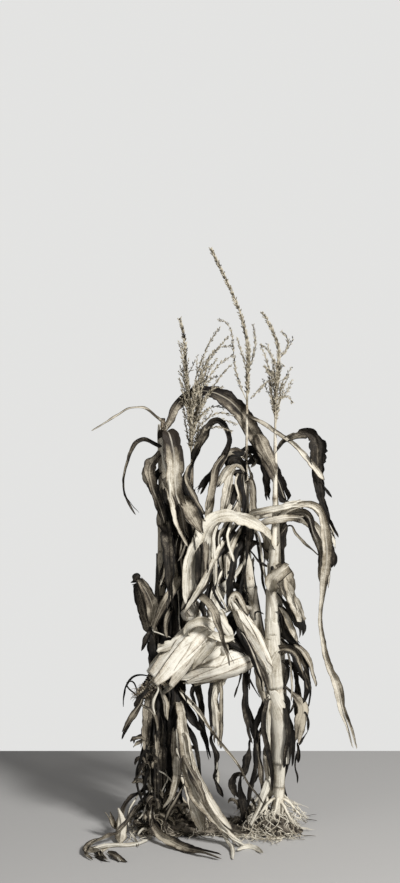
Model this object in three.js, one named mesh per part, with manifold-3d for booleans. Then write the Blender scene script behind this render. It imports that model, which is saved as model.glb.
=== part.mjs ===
// A dried maize clump lifted with its roots: four stalks on one root crown, with tassels, ears and leaves.
// Millimetres, +Z up, +Y away from the front. The origin is on the flat underside of the root crown.
import * as THREE from "three";
import { mergeVertices } from "three/addons/utils/BufferGeometryUtils.js";
import Module from "manifold-3d";

const wasm = await Module();
wasm.setup();

// Driving sizes
const GAP = 0.3; // clearance between pieces that touch on the real plant
const BLADE_THICKNESS = 2.5; // thinnest blade, with its dried ripples taken together
const BLADE_SLENDERNESS = 100; // a blade is never thinner than its length over this
const BLADE_ROW = 60; // length of blade between two rows of faces
const STALK_RING = 55; // length of stalk between two rings of faces
const STALK_SIDES = 8;
const EAR_SIDES = 8;
const SHEATH_WALL = 3.5; // a dry sheath stands this far off its stalk
const SPIKELET_LENGTH = 15;
const SPIKELET_RADIUS = 3;
const SPIKELET_ROOT = 0.6; // how far a spikelet's foot is sunk past the middle of its branch
const SPIKELET_PITCH = 36; // length of tassel branch from one spikelet to the next
const SPIKELET_LEAN = 0.75; // how far a spikelet stands out for each unit that it points along its branch
const SPIKELET_START = 0.2; // a tassel branch is bare up to this share of its length
const TASSEL_STEM_RADII = [3, 3, 2.8, 2.4, 1.6];
const TASSEL_BRANCH_RADII = [2.4, 2, 1.5];
const BRACE_ROOT_TOP = [60, 78]; // brace roots leave a stalk between these heights
const BRACE_ROOT_RADII = [3.4, 3, 2.4, 2];
const FOOT_HEIGHT = 40; // height of the lump of earth and roots round each foot
const CUTTER_SIZE = 660; // side of the block that cuts the root crown flat, wider than the whole foot
const FLOOR_CLEARANCE = 1; // leaves that lie on the floor stay this far above the flat underside
const GOLDEN_ANGLE = 137.5; // degrees round a branch from one spikelet to the next
const DEGREE = Math.PI / 180;

// Dried colours, from the palest husk to the dark rotted undersides
const straw = new THREE.MeshStandardMaterial({ color: 0xcdbf9a, roughness: 0.75, metalness: 0 });
const husk = new THREE.MeshStandardMaterial({ color: 0xe0d5b4, roughness: 0.7, metalness: 0 });
const paleLeaf = new THREE.MeshStandardMaterial({ color: 0xc4b48c, roughness: 0.8, metalness: 0 });
const tanLeaf = new THREE.MeshStandardMaterial({ color: 0x927e5a, roughness: 0.85, metalness: 0 });
const darkLeaf = new THREE.MeshStandardMaterial({ color: 0x4f4230, roughness: 0.9, metalness: 0 });
const tasselTan = new THREE.MeshStandardMaterial({ color: 0xa8976c, roughness: 0.9, metalness: 0 });
const rootBrown = new THREE.MeshStandardMaterial({ color: 0x6d5a40, roughness: 0.95, metalness: 0 });

// The same tangle of roots and branches comes out each time.
let seed = 20;
function random(low, high) {
  seed = (seed * 16807) % 2147483647;
  return low + ((high - low) * seed) / 2147483647;
}

// The value at a share t of the way along a list of evenly spaced values
function along(values, t) {
  const place = THREE.MathUtils.clamp(t, 0, 1) * (values.length - 1);
  const index = Math.min(Math.floor(place), values.length - 2);
  return THREE.MathUtils.lerp(values[index], values[index + 1], place - index);
}

// A heading of 0 points to the right, 90 to the back, 180 to the left and -90 to the front.
function direction(rise, heading) {
  const level = Math.cos(rise * DEGREE);
  const east = level * Math.cos(heading * DEGREE);
  const north = level * Math.sin(heading * DEGREE);
  return new THREE.Vector3(east, north, Math.sin(rise * DEGREE));
}

// Turns a curve and its width direction into a function that gives the frame at a share t of its length.
function frames(curve, widthAt) {
  const frameAt = (t) => {
    const point = curve.getPointAt(t);
    const forward = curve.getTangentAt(THREE.MathUtils.clamp(t, 0.001, 0.999)).normalize();
    const width = widthAt(t, forward);
    const side = width.clone().addScaledVector(forward, -width.dot(forward)).normalize();
    const up = forward.clone().cross(side);
    return { point, forward, side, up };
  };
  return { frameAt, length: curve.getLength() };
}

// A route is a chain of legs, each [length, rise, heading, turn of the blade], with its corners rounded.
// Heading and turn change evenly from the middle of one leg to the middle of the next.
function route(start, legs) {
  const corners = [start.clone()];
  for (const [length, rise, heading] of legs) {
    corners.push(corners.at(-1).clone().addScaledVector(direction(rise, heading), length));
  }
  const middles = legs.map((leg, i) => corners[i].clone().lerp(corners[i + 1], 0.5));
  const curve = new THREE.CurvePath();
  curve.add(new THREE.LineCurve3(corners[0], middles[0]));
  for (let i = 1; i < legs.length; i += 1) {
    curve.add(new THREE.QuadraticBezierCurve3(middles[i - 1], corners[i], middles[i]));
  }
  curve.add(new THREE.LineCurve3(middles.at(-1), corners.at(-1)));
  curve.getPointAt = curve.getPoint;
  curve.getTangentAt = curve.getTangent;

  const lengths = curve.getCurveLengths();
  const middleShares = lengths.slice(0, -1).map((length) => length / lengths.at(-1));
  const widthAt = (t, forward) => {
    const next = middleShares.findIndex((share) => share > t);
    const after = next < 0 ? legs.length - 1 : next;
    const before = Math.max(after - (next < 0 ? 0 : 1), 0);
    const span = middleShares[after] - middleShares[before];
    const share = span > 0 ? (t - middleShares[before]) / span : 0;
    const heading = THREE.MathUtils.lerp(legs[before][2], legs[after][2], share) * DEGREE;
    const turn = THREE.MathUtils.lerp(legs[before][3] ?? 0, legs[after][3] ?? 0, share) * DEGREE;
    const level = new THREE.Vector3(-Math.sin(heading), Math.cos(heading), 0);
    level.addScaledVector(forward, -level.dot(forward)).normalize();
    return level.applyAxisAngle(forward, turn);
  };
  return frames(curve, widthAt);
}

// The part of a path between two shares of its length
function stretch(path, from, to) {
  const stalkShare = (t) => from + t * (to - from);
  const frameAt = (t) => path.frameAt(stalkShare(t));
  return { frameAt, stalkShare, length: path.length * (to - from) };
}

// A closed mesh with shared corners, as a solid that can be joined and cut
function solid(geometry) {
  geometry.deleteAttribute("normal");
  geometry.deleteAttribute("uv");
  const merged = mergeVertices(geometry, 0.001);
  const vertProperties = new Float32Array(merged.attributes.position.array);
  const triVerts = new Uint32Array(merged.index.array);
  return new wasm.Manifold(new wasm.Mesh({ numProp: 3, vertProperties, triVerts }));
}

// Moves every corner of a shape to the place that the function gives for it
function moveCorners(geometry, placeOf) {
  const corners = geometry.attributes.position;
  for (let i = 0; i < corners.count; i += 1) {
    const place = placeOf(new THREE.Vector3().fromBufferAttribute(corners, i));
    corners.setXYZ(i, place.x, place.y, place.z);
  }
  return geometry;
}

// A round limb bent along a path, with its radii given evenly from foot to tip
function limb(path, radii, sides, rings, grow = 0) {
  const tube = new THREE.CylinderGeometry(1, 1, 1, sides, rings, false);
  moveCorners(tube, (corner) => {
    const t = corner.y + 0.5;
    const { point, forward, side, up } = path.frameAt(t);
    const radius = along(radii, t) + grow;
    const place = point.clone().addScaledVector(side, corner.x * radius);
    place.addScaledVector(up, -corner.z * radius);
    return place.addScaledVector(forward, corner.y * 2 * grow);
  });
  return solid(tube);
}

// A strap leaf: a bar bent along a path, folded in a V along its midrib. A share of it can be taken.
function blade({ path, widths, fold, from = 0, to = 1 }, grow = 0) {
  const length = path.length * (to - from);
  const thickness = Math.max(BLADE_THICKNESS, length / BLADE_SLENDERNESS) / 2 + grow;
  const rows = Math.max(3, Math.round(length / BLADE_ROW));
  const bar = new THREE.BoxGeometry(2, 2, 1, 2, 1, rows);
  moveCorners(bar, (corner) => {
    const t = from + (corner.z + 0.5) * (to - from);
    const { point, forward, side, up } = path.frameAt(t);
    const reach = Math.abs(corner.x) * (along(widths, t) / 2 + grow);
    const place = point.clone().addScaledVector(side, Math.sign(corner.x) * reach * Math.cos(fold * DEGREE));
    place.addScaledVector(up, reach * Math.sin(fold * DEGREE) + corner.y * thickness);
    return place.addScaledVector(forward, corner.z * 2 * grow);
  });
  return solid(bar);
}

// Every finished piece keeps its own space: a later piece is cut clear of all the earlier ones it meets.
const keptSpaces = [];
function meets(a, b) {
  return [0, 1, 2].every((axis) => a.min[axis] < b.max[axis] && b.min[axis] < a.max[axis]);
}

// Joins the bodies of one piece, cuts them clear of the finished pieces, and drops loose scraps.
function finish(name, bodies, keepOuts, material) {
  let body = bodies[0];
  for (const other of bodies.slice(1)) {
    body = body.add(other);
  }
  for (const keptSpace of keptSpaces) {
    if (meets(body.boundingBox(), keptSpace.boundingBox())) {
      body = body.subtract(keptSpace);
    }
  }
  keptSpaces.push(...keepOuts);
  const [largest] = body.decompose().sort((a, b) => b.volume() - a.volume());
  const { vertProperties, triVerts } = largest.getMesh();
  const geometry = new THREE.BufferGeometry();
  geometry.setAttribute("position", new THREE.BufferAttribute(vertProperties, 3));
  geometry.setIndex(new THREE.BufferAttribute(triVerts, 1));
  geometry.computeVertexNormals();
  const mesh = new THREE.Mesh(geometry, material);
  mesh.name = name;
  return mesh;
}

// Stalks

// Each stalk is a smooth line through its foot, its bends and its tip, with radii from foot to tip.
function stalkLine(points) {
  const curve = new THREE.CatmullRomCurve3(points.map((point) => new THREE.Vector3(...point)));
  const line = frames(curve, () => new THREE.Vector3(1, 0, 0));
  line.atHeight = (height) => {
    let low = 0;
    let high = 1;
    for (let i = 0; i < 30; i += 1) {
      const middle = (low + high) / 2;
      if (line.frameAt(middle).point.z < height) {
        low = middle;
      } else {
        high = middle;
      }
    }
    return low;
  };
  return line;
}

// The right stalk is the thickest, swollen by sheaths and the fork of its ear, and ends in a thin tassel stem.
const rightStalk = stalkLine([
  [120, 0, 22], [122, 0, 110], [126, 0, 200], [116, 0, 290], [107, 0, 380],
  [105, 0, 470], [107, 0, 605], [110, 0, 720], [110, 0, 893],
]);
rightStalk.radii = [13, 11, 14, 17, 16, 15, 12, 9, 6.5, 5.5, 5, 3];

// The centre stalk starts at the same crown, leans right behind the right stalk, and rises highest.
const centreStalk = stalkLine([
  [72, 30, 18], [97, 30, 90], [104, 30, 190], [98, 30, 306], [84, 30, 397],
  [66, 30, 488], [52, 30, 578], [47, 30, 690], [48, 30, 825], [49, 30, 947],
]);
centreStalk.radii = [10, 10, 11, 10, 9, 9.5, 10, 7, 3.5, 3, 2.8];

// The left stalk leans to the right as it rises and carries the bushy tassel.
const leftStalk = stalkLine([
  [-118, 20, 22], [-119, 20, 150], [-111, 20, 286], [-100, 20, 422], [-86, 20, 557], [-77, 20, 692],
  [-73, 20, 819],
]);
leftStalk.radii = [12, 10, 10, 10, 9, 8.5, 8, 6, 4];

// The outer left stalk has lost its tassel: a ragged sheath is left at its broken top.
const outerStalk = stalkLine([
  [-150, -12, 22], [-161, -12, 120], [-162, -12, 203], [-157, -10, 339], [-148, -10, 473], [-139, -10, 607],
  [-137, -10, 740], [-138, -10, 839], [-136, -10, 920],
]);
outerStalk.radii = [12, 10, 10, 10, 9, 8.5, 8, 7, 6.5, 5];

const stalks = new THREE.Group();
function stalk(name, line) {
  const rings = Math.round(line.length / STALK_RING);
  const body = limb(line, line.radii, STALK_SIDES, rings);
  const keepOut = limb(line, line.radii, STALK_SIDES, rings, GAP);
  stalks.add(finish(name, [body], [keepOut], straw));
}
stalk("stalk_right", rightStalk);
stalk("stalk_centre", centreStalk);
stalk("stalk_left", leftStalk);
stalk("stalk_outer", outerStalk);

// Root crown: a mat of roots and earth with a flat underside, and brace roots that come down round each foot

// A lump is a low dome with an uneven skin.
function lump(x, y, halfLength, halfDepth, height) {
  const dome = new THREE.SphereGeometry(1, 11, 5).rotateX(90 * DEGREE);
  moveCorners(dome, (corner) => {
    const bump = 1 + 0.09 * Math.sin(7 * corner.x - 3 * corner.y) * Math.cos(5 * corner.z + x);
    const size = new THREE.Vector3(halfLength, halfDepth, height).multiplyScalar(bump);
    return corner.multiply(size).add(new THREE.Vector3(x, y, 0));
  });
  return solid(dome);
}

// Brace roots leave a stalk all round, slope down steeply and flatten out towards the floor.
function braceRoots(line, reach, count) {
  const roots = [];
  const foot = line.frameAt(0).point;
  for (let i = 0; i < count; i += 1) {
    const heading = (360 * (i + random(-0.3, 0.3))) / count;
    const start = line.frameAt(line.atHeight(random(...BRACE_ROOT_TOP))).point;
    const out = reach * random(0.75, 1.1);
    const path = route(start, [
      [line.radii[0] + 12, -20, heading],
      [out * 0.6, -52, heading + random(-12, 12)],
      [out * 0.5, -35, heading + random(-25, 25)],
    ]);
    roots.push(limb(path, BRACE_ROOT_RADII, 3, 3));
  }
  roots.push(lump(foot.x, foot.y, reach * 0.62, reach * 0.58, FOOT_HEIGHT));
  return roots;
}

const cutter = new THREE.BoxGeometry(CUTTER_SIZE, CUTTER_SIZE, CUTTER_SIZE);
const below = solid(cutter.translate(0, 0, -CUTTER_SIZE / 2));
const crownParts = [
  lump(-118, 0, 78, 72, 38),
  lump(5, -14, 120, 62, 24),
  lump(108, -10, 62, 66, 36),
  ...braceRoots(rightStalk, 62, 7),
  ...braceRoots(centreStalk, 46, 4),
  ...braceRoots(leftStalk, 56, 4),
  ...braceRoots(outerStalk, 56, 4),
].map((part) => part.subtract(below));
stalks.add(finish("root_crown", crownParts, crownParts, rootBrown));

// Nothing reaches the floor but the root crown.
keptSpaces.push(below.translate(0, 0, FLOOR_CLEARANCE));

// Ears: each is a shank and a spindle of husks in one, with loose husks joined on

const ears = new THREE.Group();
function ear(name, stem, height, { radii, legs, husks = [] }) {
  const start = stem.frameAt(stem.atHeight(height)).point;
  const path = route(start, legs);
  const rings = radii.length * 2 - 2;
  const bodies = [limb(path, radii, EAR_SIDES, rings)];
  const keepOuts = [limb(path, radii, EAR_SIDES, rings, GAP)];
  for (const { at, ...shape } of husks) {
    const flap = { ...shape, path: route(path.frameAt(at).point, shape.legs) };
    bodies.push(blade(flap));
    keepOuts.push(blade(flap, GAP));
  }
  ears.add(finish(name, bodies, keepOuts, husk));
}

ear("ear_right", rightStalk, 343, {
  legs: [[66, 59, -150], [64, 59, -148], [47, 58, -156], [34, 60, -156]],
  radii: [8, 11, 15, 17, 17, 14, 9, 3],
});

// The open ear hangs from its long shank, with the cob out of its husks at the tip.
ear("ear_open", centreStalk, 490, {
  legs: [[56, 15, -133], [51, -8, -143], [46, -38, -155], [95, -47, -167], [73, -46, -169], [41, -38, -171]],
  radii: [6, 6, 6, 6, 7, 20, 26, 26, 25, 22, 13, 7],
  husks: [
    { at: 0.5, widths: [30, 34, 26, 14], fold: 15, legs: [[55, -6, -165, -60], [42, -24, -172, -70]] },
    { at: 0.72, widths: [30, 34, 22, 6], fold: 20, legs: [[50, -62, -120, -40], [45, -60, -150, -60]] },
  ],
});

ear("ear_low", centreStalk, 411, {
  legs: [[40, -25, -116], [48, -19, -154], [59, -14, -165], [51, -24, -171], [25, -24, -175]],
  radii: [7, 12, 22, 25, 24, 21, 13, 3],
});

ear("ear_left", leftStalk, 512, {
  legs: [[30, -10, -70], [35, -20, -80], [25, -25, -86]],
  radii: [8, 19, 22, 21, 8],
});

// Leaves: each starts at its stalk, and is cut clear of the stalks, ears and leaves made before it

const leaves = new THREE.Group();
function leafOn(stem, { at, ...shape }) {
  return { ...shape, path: route(stem.frameAt(stem.atHeight(at)).point, shape.legs) };
}

function leaf(name, stem, shape, material) {
  const strap = leafOn(stem, shape);
  leaves.add(finish(name, [blade(strap)], [blade(strap, GAP)], material));
}

// A leaf that arches over a wide gap is two pieces that meet at its bend.
function arch(name, stem, { bend, ...shape }, material) {
  const strap = leafOn(stem, shape);
  const rise = { ...strap, to: bend };
  const fall = { ...strap, from: bend + GAP / strap.path.length };
  leaves.add(finish(`${name}_rise`, [blade(rise)], [blade(rise)], material));
  leaves.add(finish(`${name}_fall`, [blade(fall)], [blade(fall, GAP)], material));
  keptSpaces.push(blade(rise, GAP));
}

// Leaves whose sheaths wrap one stretch of stalk are one piece with that sheath.
function leafCluster(name, stem, top, bottom, shapes, material) {
  const sheath = stretch(stem, stem.atHeight(bottom), stem.atHeight(top));
  const wall = [0, 1].map((t) => along(stem.radii, sheath.stalkShare(t)) + SHEATH_WALL);
  const straps = shapes.map((shape) => leafOn(stem, shape));
  const bodies = [limb(sheath, wall, STALK_SIDES, 1), ...straps.map((strap) => blade(strap))];
  const keepOuts = [limb(sheath, wall, STALK_SIDES, 1, GAP), ...straps.map((strap) => blade(strap, GAP))];
  leaves.add(finish(name, bodies, keepOuts, material));
}

// Outer stalk, from its broken top down
arch("leaf_flag_arch", outerStalk, {
  at: 894,
  bend: 0.3,
  widths: [20, 26, 20, 46, 36, 30, 8],
  fold: 15,
  legs: [
    [80, 50, 42, 80], [60, 35, 26, 80], [90, -27, 2, 80],
    [102, -59, -8, 80], [78, -65, -8, 80], [67, -66, 0, 80],
  ],
}, tanLeaf);
leaf("leaf_flag_thin", outerStalk, {
  at: 907,
  widths: [14, 9, 7, 5],
  fold: 30,
  legs: [[70, 44, -162, -50], [124, -29, -167, -70]],
}, paleLeaf);
leaf("leaf_left_curl", outerStalk, {
  at: 850,
  widths: [22, 20, 10, 9, 9, 5],
  fold: 20,
  legs: [[66, 29, -154, -50], [64, -64, -174, -60], [60, -86, -180, -80], [60, -119, -178, -80]],
}, darkLeaf);
leaf("leaf_left_loop", outerStalk, {
  at: 835,
  widths: [26, 31, 31, 24, 14, 8],
  fold: 12,
  legs: [[41, -20, -130], [46, -85, -110, -10], [59, -64, 4, 90], [72, -79, 13, 90]],
}, tanLeaf);
leaf("leaf_left_broad", outerStalk, {
  at: 868,
  widths: [26, 34, 36, 30, 22, 12],
  fold: 12,
  legs: [[44, 48, -57, 10], [60, -56, -70, 10], [65, -87, -90], [67, -79, 13, 90], [61, -72, 39, 100]],
}, paleLeaf);
leaf("leaf_left_strip", outerStalk, {
  at: 788,
  widths: [14, 13, 13, 11, 6],
  fold: 10,
  legs: [[36, -1, -78], [60, -40, -75], [51, -68, -60, 20], [61, -59, 28, 90]],
}, paleLeaf);
leafCluster("leaves_outer_middle", outerStalk, 428, 365, [
  {
    at: 416,
    widths: [24, 44, 54, 34, 20],
    fold: 12,
    legs: [[78, 67, -124, -34], [86, 77, -149, -59], [22, -26, -173, -70]],
  },
  { at: 420, widths: [18, 22, 20, 14], fold: 25, legs: [[86, 72, -34, 50], [61, 68, -13, 70]] },
], darkLeaf);
leafCluster("leaves_outer_tips", outerStalk, 350, 255, [
  {
    at: 345,
    widths: [10, 9, 8, 8, 5],
    fold: 25,
    legs: [[49, 14, -168, -78], [40, -60, -170, -80], [40, -92, -170, -80]],
  },
  {
    at: 290,
    widths: [12, 14, 14, 4],
    fold: 20,
    legs: [[29, 32, -142], [51, -58, -169, -70], [56, -67, -180, -90]],
  },
  {
    at: 270,
    widths: [14, 18, 18, 12],
    fold: 15,
    legs: [[43, 45, -96], [55, -77, -123, -30], [45, -90, -120, -30]],
  },
], darkLeaf);
leafCluster("leaves_outer_low", outerStalk, 246, 170, [
  {
    at: 205,
    widths: [10, 9, 9, 8, 6],
    fold: 20,
    legs: [[27, 12, -130], [97, -79, -164, -74], [61, -107, -164, -80]],
  },
  {
    at: 240,
    widths: [24, 36, 40, 34, 14],
    fold: 20,
    legs: [[49, 39, -52, 38], [87, -79, -120, -30], [113, -82, -90]],
  },
], darkLeaf);

// Left stalk
leaf("leaf_inner_arch", leftStalk, {
  at: 800,
  widths: [14, 26, 26, 20, 14, 22, 14, 6],
  fold: 15,
  legs: [
    [95, 70, -25, 60], [44, 45, -9, 80], [44, -53, 0, 90],
    [41, -103, 0, 90], [55, -125, 0, 90], [57, -120, -10, 90],
  ],
}, darkLeaf);
leaf("leaf_folded", leftStalk, {
  at: 775,
  widths: [12, 20, 20, 16, 8],
  fold: 45,
  legs: [[45, 22, -108], [51, -60, -46, 40], [53, -60, -4, 80], [55, -78, 10, 90]],
}, darkLeaf);
leaf("leaf_round_flap", leftStalk, {
  at: 715,
  widths: [16, 40, 40, 26],
  fold: 10,
  legs: [[80, 21, -99], [53, -38, -65, 20], [42, -56, 7, 90]],
}, tanLeaf);
leaf("leaf_front_pointed", leftStalk, {
  at: 545,
  widths: [20, 24, 24, 22, 14, 4],
  fold: 15,
  legs: [[85, -5, -74], [64, -15, -52, 30], [58, -68, -28, 60], [71, -76, 0, 90]],
}, tanLeaf);
leaf("leaf_drop_dark", leftStalk, {
  at: 330,
  widths: [16, 26, 20, 16, 16, 8],
  fold: 20,
  legs: [[45, 30, -20, 60], [62, -75, 0, 80], [60, -85, 0, 90], [80, -78, 0, 90]],
}, darkLeaf);
leaf("leaf_stick", leftStalk, {
  at: 300,
  widths: [10, 12, 10, 6, 4],
  fold: 30,
  legs: [[53, 30, -77], [107, -44, -34, 60], [61, -47, -20, 70], [147, -58, 0, 90]],
}, paleLeaf);
leaf("leaf_lower_bright", leftStalk, {
  at: 262,
  widths: [24, 36, 38, 40, 34, 20, 14],
  fold: 12,
  legs: [[83, 37, -81, 10], [101, -59, -75, 15], [72, -81, -60, 30], [86, -66, -10, 70], [116, -42, -5, 30]],
}, paleLeaf);
leaf("leaf_lower_pale", leftStalk, {
  at: 149,
  widths: [20, 36, 44, 36, 16],
  fold: 15,
  legs: [[56, 32, -58, 30], [73, -74, -48, 40], [109, -74, -10, 80]],
}, paleLeaf);

// Centre stalk
leaf("leaf_top_right", centreStalk, {
  at: 925,
  widths: [10, 12, 12, 10, 6],
  fold: 20,
  legs: [[84, -27, -12, 70], [63, -35, -17, 70], [80, -51, -11, 75]],
}, paleLeaf);
leaf("leaf_centre_ribbon", centreStalk, {
  at: 824,
  widths: [24, 22, 20, 20, 20, 12],
  fold: 15,
  legs: [[52, 38, -151, -60], [54, -51, -154, -64], [70, -82, -150, -60], [89, -79, -165, -75]],
}, tanLeaf);
leaf("leaf_centre_crumple", centreStalk, {
  at: 818,
  widths: [24, 30, 26, 12],
  fold: 20,
  legs: [[47, 34, 58, 120], [44, -49, 44, 125], [84, -83, 28, 115]],
}, darkLeaf);
leafCluster("leaves_centre_straps", centreStalk, 795, 735, [
  {
    at: 785,
    widths: [16, 20, 18, 10],
    fold: 15,
    legs: [[35, 39, -126, -36], [63, -85, -90], [60, -82, -80, 10]],
  },
  { at: 770, widths: [14, 16, 14, 8], fold: 15, legs: [[24, 42, -49, 30], [35, -75, -62, 28], [77, -89, -90]] },
], tanLeaf);
leaf("leaf_centre_pale", centreStalk, {
  at: 725,
  widths: [18, 24, 24, 14],
  fold: 10,
  legs: [[60, 55, 142, 50], [53, -72, 143, 50], [78, -88, 150, 60]],
}, paleLeaf);
leaf("leaf_band_behind", centreStalk, {
  at: 690,
  widths: [20, 22, 26, 26, 22, 10],
  fold: 12,
  legs: [[58, 22, 20, 100], [93, -13, 0, 88], [49, -50, -9, 80], [79, -78, -30, 60]],
}, paleLeaf);
leaf("leaf_hang_front", centreStalk, {
  at: 617,
  widths: [16, 20, 22, 20, 10],
  fold: 18,
  legs: [[78, 47, -165, -75], [45, -42, -140, -50], [66, -83, -100, -10], [61, -80, -100, -10]],
}, tanLeaf);
leaf("leaf_hang_behind", centreStalk, {
  at: 600,
  widths: [16, 24, 24, 12],
  fold: 15,
  legs: [[78, 54, 139, 49], [41, -57, 150, 60], [79, -85, 100, 10], [59, -80, 100, 10]],
}, darkLeaf);
leaf("leaf_low_curl", centreStalk, {
  at: 455,
  widths: [16, 20, 14, 6],
  fold: 20,
  legs: [[103, 68, -170, -80], [67, -65, -170, -80]],
}, darkLeaf);
leaf("leaf_drop_pale", centreStalk, {
  at: 400,
  widths: [18, 20, 20, 22, 20, 8],
  fold: 12,
  legs: [[60, 5, 150, 60], [60, -40, 178, 88], [80, -82, 180, 90], [75, -88, 180, 90]],
}, paleLeaf);
leaf("leaf_centre_low", centreStalk, {
  at: 350,
  widths: [14, 16, 18, 20, 22, 10],
  fold: 20,
  legs: [[56, 30, -160, -70], [73, -84, -120, -30], [69, -77, -20, 70], [70, -75, -10, 80], [70, -104, 0, 90]],
}, darkLeaf);

// Right stalk
arch("leaf_right_top", rightStalk, {
  at: 843,
  bend: 0.31,
  widths: [12, 14, 30, 54, 44, 30, 24, 16, 8],
  fold: 15,
  legs: [[46, 54, -17, 70], [68, 8, -8, 80], [105, -89, 0, 88], [46, -81, 0, 90], [90, -69, 0, 90]],
}, darkLeaf);
arch("leaf_right_long", rightStalk, {
  at: 683,
  bend: 0.17,
  widths: [16, 18, 22, 34, 22, 13, 12, 24, 26, 18, 5],
  fold: 12,
  legs: [
    [63, 51, -31, 60], [66, 5, -9, 80], [96, -79, 0, 90], [101, -100, 0, 90],
    [111, -89, 0, 90], [124, -70, 0, 90], [130, -76, 0, 90],
  ],
}, paleLeaf);
leaf("leaf_right_thin", rightStalk, {
  at: 649,
  widths: [9, 9, 8, 5],
  fold: 20,
  legs: [[55, 45, 25, 100], [31, -62, 0, 90], [70, -43, -6, 84]],
}, tanLeaf);
arch("leaf_bright_arch", rightStalk, {
  at: 623,
  bend: 0.4,
  widths: [22, 30, 33, 34, 50, 60, 30, 12],
  fold: 12,
  legs: [
    [72, 59, -138, -48], [95, 18, -167, -77], [64, -43, -159, -70], [76, -84, -148, -58], [100, -71, -180, -90],
  ],
}, husk);
leafCluster("leaves_right_flop", rightStalk, 540, 470, [
  {
    at: 530,
    widths: [24, 34, 34, 34, 20],
    fold: 20,
    legs: [[76, 68, -44, 46], [76, -73, -13, 77], [77, -73, 0, 90]],
  },
  {
    at: 485,
    widths: [20, 26, 24, 8],
    fold: 20,
    legs: [[31, 34, -23, 67], [45, -75, -15, 75], [40, -71, 0, 90]],
  },
], tanLeaf);
leafCluster("leaves_right_middle", rightStalk, 405, 350, [
  {
    at: 399,
    widths: [20, 26, 18, 8],
    fold: 20,
    legs: [[51, 26, -26, 64], [52, -61, -19, 71], [58, -76, 0, 90]],
  },
  {
    at: 363,
    widths: [16, 18, 14, 30, 30, 8],
    fold: 20,
    legs: [[46, 36, 15, 100], [62, -68, 12, 100], [46, -95, 0, 90], [55, -75, -21, 80], [54, -128, 10, 90]],
  },
], darkLeaf);
leaf("leaf_right_slip", rightStalk, {
  at: 257,
  widths: [14, 16, 14, 8],
  fold: 20,
  legs: [[41, 53, -55, 35], [71, -83, -37, 53], [76, -98, -16, 74]],
}, darkLeaf);
leaf("leaf_right_inner", rightStalk, {
  at: 280,
  widths: [14, 18, 20, 22, 16, 6],
  fold: 20,
  legs: [[45, 42, -130, -40], [62, -73, -155, -65], [66, -74, -10, 80], [92, -86, 0, 90]],
}, darkLeaf);

// Leaves that hang against a stalk, out of the front's sight or inside the bundle, follow one rule.
function hanging(at, heading, length, width, reach = 0.16) {
  return {
    at,
    widths: [0.5, 0.9, 1, 0.8, 0.55, 0.25].map((share) => share * width),
    fold: 18,
    legs: [
      [length * reach * 1.1, 45, heading],
      [length * reach * 0.9, -14, heading, 8],
      [length * (0.5 - reach), -74, heading + 8, -6],
      [length * (0.5 - reach), -86, heading - 12, 10],
    ],
  };
}

leafCluster("leaves_bundle_upper", outerStalk, 712, 640, [
  hanging(700, -40, 270, 34), hanging(660, -80, 250, 36),
], darkLeaf);
leafCluster("leaves_bundle_lower", leftStalk, 480, 420, [
  hanging(470, -140, 200, 36), hanging(440, 160, 190, 30),
], darkLeaf);
leafCluster("leaves_back_outer", outerStalk, 630, 560, [
  hanging(620, 100, 340, 42, 0.24), hanging(580, 50, 280, 34),
], darkLeaf);
leafCluster("leaves_back_left", leftStalk, 700, 620, [
  hanging(690, 112, 360, 40, 0.24), hanging(650, 65, 340, 38, 0.2),
], tanLeaf);
leafCluster("leaves_back_centre", centreStalk, 540, 480, [
  hanging(530, 95, 350, 42, 0.22), hanging(500, 150, 300, 34),
], tanLeaf);
leafCluster("leaves_back_right", rightStalk, 640, 570, [
  hanging(630, 80, 360, 42, 0.24), hanging(600, 130, 290, 34),
], darkLeaf);
leafCluster("leaves_back_low", leftStalk, 250, 190, [
  hanging(240, 95, 230, 40), hanging(215, 150, 200, 30),
], darkLeaf);
leafCluster("leaves_floor", outerStalk, 125, 85, [
  {
    at: 100,
    widths: [14, 18, 24, 26, 14],
    fold: 25,
    legs: [[60, -25, -160], [45, -65, -150], [40, -30, -120], [48, 75, -180, -60]],
  },
  {
    at: 92,
    widths: [12, 14, 16, 22, 26, 16],
    fold: 25,
    legs: [[70, -30, -130], [75, -30, -125], [60, -2, -160], [45, -5, -100], [40, 5, -40]],
  },
  {
    at: 90,
    widths: [16, 20, 22, 20, 12, 6],
    fold: 20,
    legs: [[60, -40, -100], [60, -35, -60], [60, -2, -45], [110, -1, -35]],
  },
], tanLeaf);

// Tassels: three-sided branches with spikelets on them, all joined to one stem that stands on the stalk's tip

const tassels = new THREE.Group();

// Spikelets stand out of a branch one after another, turned round it by the golden angle.
function spikelets(path, first) {
  const grains = [];
  const count = Math.floor((path.length * (1 - first)) / SPIKELET_PITCH);
  for (let i = 0; i <= count; i += 1) {
    const { point, forward, side, up } = path.frameAt(first + ((1 - first) * i) / (count + 0.3));
    const angle = i * GOLDEN_ANGLE * DEGREE;
    const out = side.clone().multiplyScalar(Math.cos(angle)).addScaledVector(up, Math.sin(angle));
    const axis = forward.clone().addScaledVector(out, SPIKELET_LEAN).normalize();
    const turn = new THREE.Quaternion().setFromUnitVectors(new THREE.Vector3(0, 1, 0), axis);
    const grain = new THREE.OctahedronGeometry(1);
    grain.scale(SPIKELET_RADIUS, SPIKELET_LENGTH / 2, SPIKELET_RADIUS);
    grain.applyQuaternion(turn);
    const centre = point.clone().addScaledVector(axis, SPIKELET_LENGTH / 2 - SPIKELET_ROOT);
    grain.translate(centre.x, centre.y, centre.z);
    grains.push(solid(grain));
  }
  return grains;
}

// A branch or spikelet that would touch something finished is skipped, and so is what stands on such a branch.
function isFree(body) {
  const near = keptSpaces.filter((keptSpace) => meets(body.boundingBox(), keptSpace.boundingBox()));
  return near.every((keptSpace) => body.intersect(keptSpace).isEmpty());
}

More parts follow.
